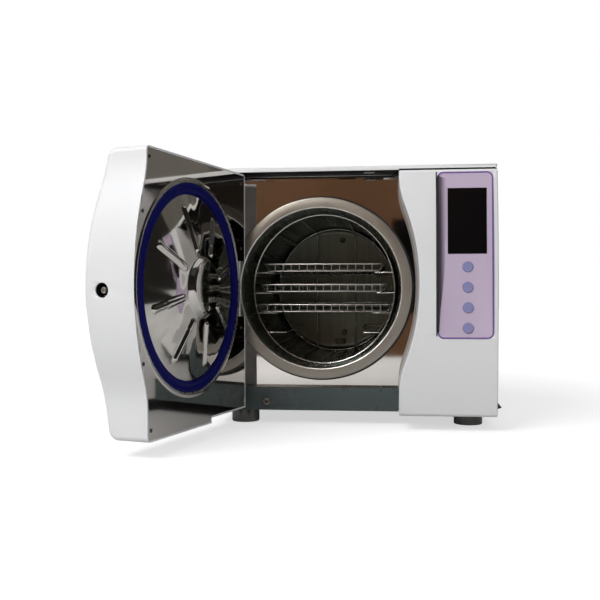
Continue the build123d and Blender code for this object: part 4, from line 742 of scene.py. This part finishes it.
def make_drain_port():
    """The drain's flange in the base, with two bright rings."""
    middle = (-85.1, -178.4)
    flange = [(0, 15.6), (5.0, 15.6), (5.0, 2.0), (8.7, 2.0), (8.8, 1.6), (8.6, 0.9), (8.0, 0.6),
              (5.4, 0.5), (5.2, 1.3), (3.6, 1.3), (3.4, 0.8), (2.6, 0.6), (2.0, 0.9), (1.9, 6.0),
              (0, 6.4)]
    settle(lathe(flange, 48, middle), "drain_flange", "casing", base_enamel, ["drain_port"])
    ring = [(4.1, 0.8), (4.15, 0.1), (4.5, -0.3), (5.0, -0.1), (5.2, 0.4), (5.2, 0.9), (4.1, 0.8)]
    inner = [(2.2, 0.9), (2.3, 0.2), (2.7, 0.0), (3.1, 0.3), (3.1, 0.9), (2.2, 0.9)]
    rings = joined([lathe(ring, 48, middle), lathe(inner, 40, middle)])
    settle(rings, "drain_rings", "casing", port_copper)


def socket_screw(radius, height):
    """A rounded screw head that stands on its end along Z, with a hexagon socket."""
    head = draw_line([(0, 0, height), (radius * 0.6, 0, height), (radius * 0.88, 0, height * 0.82),
                      (radius, 0, height * 0.45), (radius, 0, 0), (0, 0, 0)])
    bpy.ops.mesh.spin(steps=28, angle=2 * pi, center=(0, 0, 0), axis=(0, 0, 1))
    bpy.ops.mesh.select_all(action="SELECT")
    bpy.ops.mesh.remove_doubles(threshold=weld_reach)
    bpy.ops.mesh.normals_make_consistent(inside=False)
    leave()
    bpy.ops.object.select_all(action="DESELECT")
    bpy.ops.mesh.primitive_cylinder_add(vertices=6, radius=radius * 0.48, depth=height,
                                        location=(0, 0, height * 0.85))
    key = bpy.context.object
    socket = head.modifiers.new("socket", "BOOLEAN")
    socket.operation = "DIFFERENCE"
    socket.object = key
    only(head)
    bpy.ops.object.modifier_apply(modifier=socket.name)
    only(key)
    bpy.ops.object.delete()
    return head


def set_out(head, spots):
    """Copies of a screw head, each at its spot and facing its own way."""
    row = []
    for spot, facing in spots:
        only(head)
        bpy.ops.object.duplicate(linked=False)
        twin = bpy.context.object
        turn = Vector(facing).to_track_quat("Z", "Y").to_matrix().to_4x4()
        twin.matrix_world = Matrix.Translation(spot) @ turn
        bpy.ops.object.transform_apply(location=True, rotation=True, scale=True)
        row.append(twin)
    only(head)
    bpy.ops.object.delete()
    return joined(row)


def make_screws():
    """The small screws of the door's panel, and the casing's at its sides and back."""
    spots = ((112.0, 160.0), (128.0, 92.0), (127.0, -93.0), (110.0, -176.0),
             (-152.0, 158.0), (-152.0, 60.0), (-152.0, -60.0), (-152.0, -170.0))
    door_row = set_out(socket_screw(2.6, 0.9), [((x, -1.0, z), (0, 1, 0)) for x, z in spots])
    settle(door_row, "panel_screws", "door", dark_steel, ["door_screws"], swung=True)
    sides = [((x, y, -175.0), (facing, 0, 0)) for x, facing in ((-168.1, -1), (267.1, 1))
             for y in (60, 300, 500)]
    settle(set_out(socket_screw(4.0, 1.6), sides), "side_screws", "casing", screw_steel, ["hood_screws"])
    low, high = (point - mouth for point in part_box("rear_screws"))
    back = [((x, low.y * 1000, z), (0, 1, 0)) for x in (-151.6, 50.0, 250.6) for z in (-176.0, 170.0)]
    back_row = set_out(socket_screw(4.0, (high.y - low.y) * 1000), back)
    settle(back_row, "back_screws", "casing", screw_steel, ["rear_screws"])


# ---- moulded front

panel_middle, panel_lean = (217.35, -64.05, 47.6), radians(2.88)


def front_bow(z, behind):
    """Depth of the bowed front at a height, or of a place some way behind it."""
    return 1042.0 + behind - sqrt(1114.0 ** 2 - (z + 8.5) ** 2)


def make_control_panel():
    """The panel's own shape: its raised rim violet, but painted dark beside the slope as shade, and
    the wall inside the rim darker, as painted shade."""
    panel = smooth_copy("control_panel", 25)
    inner_x, inner_z, raised = 0.0386, 0.1205, 0.0001
    rim, rim_wall, rim_painted_shade = 1, 2, 3
    for finish in (violet_line, panel_wall_painted_shade, painted_shade_grey):
        panel.data.materials.append(finish)
    out = Vector((0, -cos(panel_lean), sin(panel_lean)))
    for face in panel.data.polygons:
        place = face.center - at(*panel_middle)
        if place.dot(out) > raised:
            inside = abs(place.x) < inner_x and abs(place.z) < inner_z
            upright = abs(face.normal.dot(out)) < 0.7
            face.material_index = rim_wall if inside and upright else rim
            # Rim faces at the left, beside the slope, are painted dark as shade.
            if place.x < -0.0375 and -0.113 < place.z < 0.116:
                face.material_index = rim_painted_shade


def make_panel_slope():
    """The hollow that falls from the bowed front to the panel along its left side. It grows
    shallow towards its top, and the panel's plane and the display's edge end it."""
    low, high, rows = -71.5, 164.5, 40
    left, set_in, shallow_from = 178.9, 0.25, 65.0
    levels = [low + (high - low) * i / rows for i in range(rows + 1)]
    slope = draw_line([(left, front_bow(z, set_in), z) for z in levels])
    for step in ((0.7, 1.5, 0), (0.9, 1.2, 0), (1.2, 1.0, 0), (1.6, 0.9, 0), (2.0, 0.85, 0),
                 (2.6, 0.85, 0), (3.4, 0.85, 0), (4.4, 0.85, 0)):
        bpy.ops.mesh.extrude_region_move(TRANSFORM_OT_translate={"value": step})
    leave()
    for level in levels:
        if level > shallow_from:
            share = max(0.08, 1 - (level - shallow_from) / 100)
            choose(slope, lambda corner: abs(corner.z - level) < 0.5)
            bpy.ops.transform.resize(value=(1, share, 1),
                                     center_override=(left, front_bow(level, set_in), level))
            leave()
    edit(slope)
    plane_out = (0, cos(panel_lean), -sin(panel_lean))
    bpy.ops.mesh.bisect(plane_co=(217.35, -64.0, 47.6), plane_no=plane_out, clear_outer=True)
    bpy.ops.mesh.select_all(action="SELECT")
    bpy.ops.mesh.bisect(plane_co=(190.4, 0, 0), plane_no=(1, 0, 0), clear_outer=True)
    bpy.ops.mesh.select_all(action="SELECT")
    bpy.ops.mesh.normals_make_consistent(inside=False)
    leave()
    thicken(slope, 0.3)
    # The slope is coloured dark at its left, fading to lilac: painted shade on the hollow's wall.
    settle(slope, "panel_slope", "casing", lilac_with_painted_shade, angle=60)


def make_panel_gap():
    """A dark strip painted as the shade in the gap between the front's plain half and the panel."""
    low, height, rows = -71.0, 241.0, 40
    gap = draw_line([(175.0, front_bow(low + height * i / rows, -0.05), low + height * i / rows)
                     for i in range(rows + 1)])
    bpy.ops.mesh.extrude_region_move(TRANSFORM_OT_translate={"value": (1.8, 0, 0)})
    leave()
    thicken(gap, 0.2)
    settle(gap, "panel_gap", "casing", painted_shade_grey)


def thicken(piece, wall):
    """Gives a sheet its wall, half to each side."""
    sheet = piece.modifiers.new("sheet", "SOLIDIFY")
    sheet.thickness = wall
    sheet.offset = 0
    only(piece)
    bpy.ops.object.modifier_apply(modifier=sheet.name)


def bar(low, high, round_off):
    """A straight bar between two corners, with its edges taken off."""
    bpy.ops.object.select_all(action="DESELECT")
    bpy.ops.mesh.primitive_cube_add(size=2, location=(Vector(low) + Vector(high)) / 2)
    piece = bpy.context.object
    piece.scale = (Vector(high) - Vector(low)) / 2
    bpy.ops.object.transform_apply(location=True, rotation=True, scale=True)
    edit(piece)
    bpy.ops.mesh.bevel(offset=round_off, segments=2)
    leave()
    return piece


def make_seams():
    """Dark strips painted as the shadow in the gaps where the hood meets the front, the lip and turned
    edge of the front plate below them, the lip's lighter steel a painted highlight, and a small tab."""
    left, right = -160.0, 121.0
    top = bar((121.6, -30.5, 177.6), (264.4, -29.6, 179.6), 0.15)
    side = bar((264.7, -30.5, -190.0), (265.9, -29.6, 178.0), 0.15)
    under = bar((left, -29.4, 177.2), (right, 19.0, 177.9), 0.15)
    # These black strips are painted shadow in the gaps.
    settle(joined([top, side, under]), "hood_gap_shadow", "casing", gap_shadow_black)
    lip = bar((left, 19.0, 176.9), (right, 20.2, 177.9), 0.2)
    # The lip's lighter steel is a painted highlight along its edge.
    settle(lip, "plate_lip", "casing", edge_highlight_steel)
    turned_edge = bar((-138.8, 19.4, 169.0), (right, 20.9, 176.9), 0.1)
    choose(turned_edge, lambda corner: corner.z < 173 and corner.y < 20)
    bpy.ops.transform.translate(value=(0, 1.1, 0))
    leave()
    settle(turned_edge, "plate_turned_edge", "casing", mirror_steel)
    tab = bar((68.6, -22.0, 175.3), (84.8, -17.0, 177.3), 0.3)
    settle(tab, "lid_tab", "casing", sheet_steel)


make_chamber()
make_fittings()
make_rack()
for which, width, level in zip(("upper", "middle", "lower"), (197.6, 210.5, 223.0), rail_levels):
    make_tray(which, width, level)
make_disc()
make_gasket()
make_lock_cup()
make_lock_pin()
make_drain_port()
make_screws()
make_control_panel()
make_panel_slope()
make_panel_gap()
make_seams()
for node in ("control_fascia", "door_shell", "hood", "tank_lid", "feet", "button_1", "button_2",
             "button_3", "button_4", "hinge_pins", "clean_water_tank", "mains_inlet", "air_filter",
             "safety_valve", "hose_barbs", "fan_rotor", "power_rocker"):
    smooth_copy(node)


# ---- camera, floor, room and lamps

def set_camera():
    """The viewpoint and angle of view of the photograph."""
    lens = bpy.data.cameras.new("camera")
    lens.lens = 50.0
    lens.sensor_width = 36.0
    lens.clip_start = 0.05
    lens.clip_end = 50
    camera = bpy.data.objects.new("camera", lens)
    bpy.context.scene.collection.objects.link(camera)
    below_level, to_the_left, roll = radians(0.505), radians(6.211), radians(-0.11)
    turn = Euler((pi / 2 - below_level, 0, to_the_left)).to_matrix().to_4x4()
    camera.matrix_world = (Matrix.Translation(at(109.2, -1297.0, -6.95)) @ turn
                           @ Matrix.Rotation(roll, 4, "Z"))
    bpy.context.scene.camera = camera


def white_to_camera(tree, lit, base):
    """Adds white to a floor for camera and mirror rays only, less of it under the object, which paints shade
    there. A span is the two distances from the floor's middle, and the share of white at each."""
    # Less white near the middle is painted shade under the object.
    camera_span, mirror_span = (0.45, 1.5, 0.6, 1.0), (0.3, 0.9, 0.0, 0.26)
    spot = tree.nodes.new("ShaderNodeTexCoord")
    reach = tree.nodes.new("ShaderNodeVectorMath")
    reach.operation = "LENGTH"
    tree.links.new(spot.outputs["Object"], reach.inputs[0])
    path = tree.nodes.new("ShaderNodeLightPath")
    mirror_rays = tree.nodes.new("ShaderNodeMath")
    mirror_rays.operation = "MAXIMUM"
    tree.links.new(path.outputs["Is Glossy Ray"], mirror_rays.inputs[0])
    tree.links.new(path.outputs["Is Transmission Ray"], mirror_rays.inputs[1])
    for seen_by, span in ((path.outputs["Is Camera Ray"], camera_span),
                          (mirror_rays.outputs[0], mirror_span)):
        fade = tree.nodes.new("ShaderNodeMapRange")
        for socket, value in zip(("From Min", "From Max", "To Min", "To Max"), span):
            fade.inputs[socket].default_value = value
        share = tree.nodes.new("ShaderNodeMath")
        share.operation = "MULTIPLY"
        glow = tree.nodes.new("ShaderNodeEmission")
        glow.inputs["Color"].default_value = (1, 1, 1, 1)
        both = tree.nodes.new("ShaderNodeAddShader")
        tree.links.new(reach.outputs["Value"], fade.inputs["Value"])
        tree.links.new(fade.outputs["Result"], share.inputs[0])
        tree.links.new(seen_by, share.inputs[1])
        tree.links.new(share.outputs[0], glow.inputs["Strength"])
        tree.links.new(base, both.inputs[0])
        tree.links.new(glow.outputs[0], both.inputs[1])
        base = both.outputs[0]
    tree.links.new(base, lit)


def set_floor():
    """A plain pale floor, level with the underside of the feet."""
    floor_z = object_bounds()[0].z
    bpy.ops.mesh.primitive_plane_add(size=1, location=(mouth.x, mouth.y + 3.65, floor_z))
    floor = bpy.context.object
    floor.name = "floor"
    floor.scale = (16, 10, 1)
    bpy.ops.object.transform_apply(location=True, rotation=True, scale=True)
    pale = bpy.data.materials.new("pale_floor")
    pale.use_nodes = True
    surface = pale.node_tree.nodes["Principled BSDF"]
    surface.inputs["Base Color"].default_value = (0.62, 0.62, 0.615, 1)
    surface.inputs["Roughness"].default_value = 0.7
    end = pale.node_tree.nodes["Material Output"].inputs["Surface"]
    white_to_camera(pale.node_tree, end, surface.outputs[0])
    floor.data.materials.append(pale)


def set_world():
    """Faint even light, and white where the camera, a mirror or glass looks past the floor."""
    world = bpy.data.worlds.new("studio")
    world.use_nodes = True
    bpy.context.scene.world = world
    tree = world.node_tree
    tree.nodes.clear()
    path = tree.nodes.new("ShaderNodeLightPath")
    end = tree.nodes.new("ShaderNodeOutputWorld")
    soft = tree.nodes.new("ShaderNodeBackground")
    soft.inputs["Color"].default_value = (0.95, 0.97, 1.0, 1)
    soft.inputs["Strength"].default_value = 0.26
    white = tree.nodes.new("ShaderNodeBackground")
    white.inputs["Color"].default_value = (1, 1, 1, 1)
    pick = tree.nodes.new("ShaderNodeMixShader")
    most = path.outputs["Is Camera Ray"]
    for kind in ("Is Glossy Ray", "Is Transmission Ray"):
        larger = tree.nodes.new("ShaderNodeMath")
        larger.operation = "MAXIMUM"
        tree.links.new(most, larger.inputs[0])
        tree.links.new(path.outputs[kind], larger.inputs[1])
        most = larger.outputs[0]
    tree.links.new(most, pick.inputs["Fac"])
    tree.links.new(soft.outputs[0], pick.inputs[1])
    tree.links.new(white.outputs[0], pick.inputs[2])
    tree.links.new(pick.outputs[0], end.inputs["Surface"])


def set_lamp(name, place, aim, size, power, seen=True):
    """A soft lamp in watts, which mirrors need not see."""
    lamp = bpy.data.lights.new(name, "AREA")
    lamp.shape = "RECTANGLE"
    lamp.size, lamp.size_y = size
    lamp.energy = power
    holder = bpy.data.objects.new(name, lamp)
    holder.location = place
    holder.rotation_euler = (Vector(aim) - Vector(place)).to_track_quat("-Z", "Y").to_euler()
    holder.visible_glossy = seen
    bpy.context.scene.collection.objects.link(holder)


def room_wall(name, centre, size, facing, dark, light, scale=1.2):
    """A wall of the room that only mirrors see."""
    bpy.ops.mesh.primitive_plane_add(size=1, location=centre)
    wall = bpy.context.object
    wall.name = name
    wall.scale = (size[0], size[1], 1)
    wall.rotation_euler = Vector(facing).to_track_quat("Z", "Y").to_euler()
    paint = bpy.data.materials.new(name)
    paint.use_nodes = True
    tree = paint.node_tree
    tree.nodes.clear()
    spot = tree.nodes.new("ShaderNodeTexCoord")
    noise = tree.nodes.new("ShaderNodeTexNoise")
    noise.inputs["Scale"].default_value = scale
    noise.inputs["Detail"].default_value = 3
    ramp = tree.nodes.new("ShaderNodeValToRGB")
    ramp.color_ramp.elements[0].position = 0.35
    ramp.color_ramp.elements[1].position = 0.7
    ramp.color_ramp.elements[0].color = (*dark, 1)
    ramp.color_ramp.elements[1].color = (*light, 1)
    glow = tree.nodes.new("ShaderNodeEmission")
    end = tree.nodes.new("ShaderNodeOutputMaterial")
    tree.links.new(spot.outputs["Object"], noise.inputs["Vector"])
    tree.links.new(noise.outputs["Fac"], ramp.inputs["Fac"])
    tree.links.new(ramp.outputs["Color"], glow.inputs["Color"])
    tree.links.new(glow.outputs[0], end.inputs["Surface"])
    wall.data.materials.append(paint)
    wall.visible_camera = False
    wall.visible_diffuse = False
    wall.visible_shadow = False
    wall.visible_transmission = False


set_camera()
set_floor()
set_world()
bpy.context.scene.view_settings.view_transform = "Standard"
ahead, back, to_right, to_left, down = (0, 1, 0), (0, -1, 0), (1, 0, 0), (-1, 0, 0), (0, 0, -1)
room_wall("front_wall", at(-1250, -2300, 500), (3.5, 3.4), ahead,
          (0.09, 0.045, 0.024), (0.22, 0.12, 0.068), scale=2.2)
room_wall("front_right_wall", at(1750, -2300, 500), (2.5, 3.4), ahead,
          (0.010, 0.009, 0.008), (0.030, 0.025, 0.02))
room_wall("dark_screen", at(245, -2250, 105), (0.26, 0.40), ahead,
          (0.002, 0.002, 0.002), (0.01, 0.01, 0.01))
room_wall("pale_card", at(-420, -2200, 760), (0.42, 0.30), (0.15, 1, -0.3),
          (5.5, 5.3, 5.1), (6.5, 6.3, 6.1))
room_wall("right_wall", at(2600, -450, 500), (3.7, 3.4), to_left,
          (0.010, 0.010, 0.009), (0.030, 0.028, 0.025))
room_wall("right_rear_wall", at(2600, 2150, 500), (1.5, 3.4), to_left,
          (0.12, 0.115, 0.10), (0.20, 0.19, 0.17))
room_wall("rear_wall", at(0, 2900, 500), (6, 3.4), back,
          (0.10, 0.095, 0.085), (0.17, 0.16, 0.145))
room_wall("left_wall", at(-2600, 300, 500), (5.2, 3.4), to_right,
          (0.05, 0.045, 0.04), (0.10, 0.09, 0.08))
room_wall("ceiling", at(0, 300, 2200), (6, 5.4), down,
          (0.03, 0.03, 0.03), (0.07, 0.07, 0.065))
set_lamp("key_lamp", at(-900, -1500, 1350), at(0, 0, 0), (1.1, 0.9), 31)
set_lamp("fill_lamp", at(1500, -1500, 1100), at(0, 0, 0), (1.4, 1.4), 4, seen=False)
set_lamp("top_lamp", at(0, 400, 2000), at(0, 300, 0), (2.4, 2.4), 10)
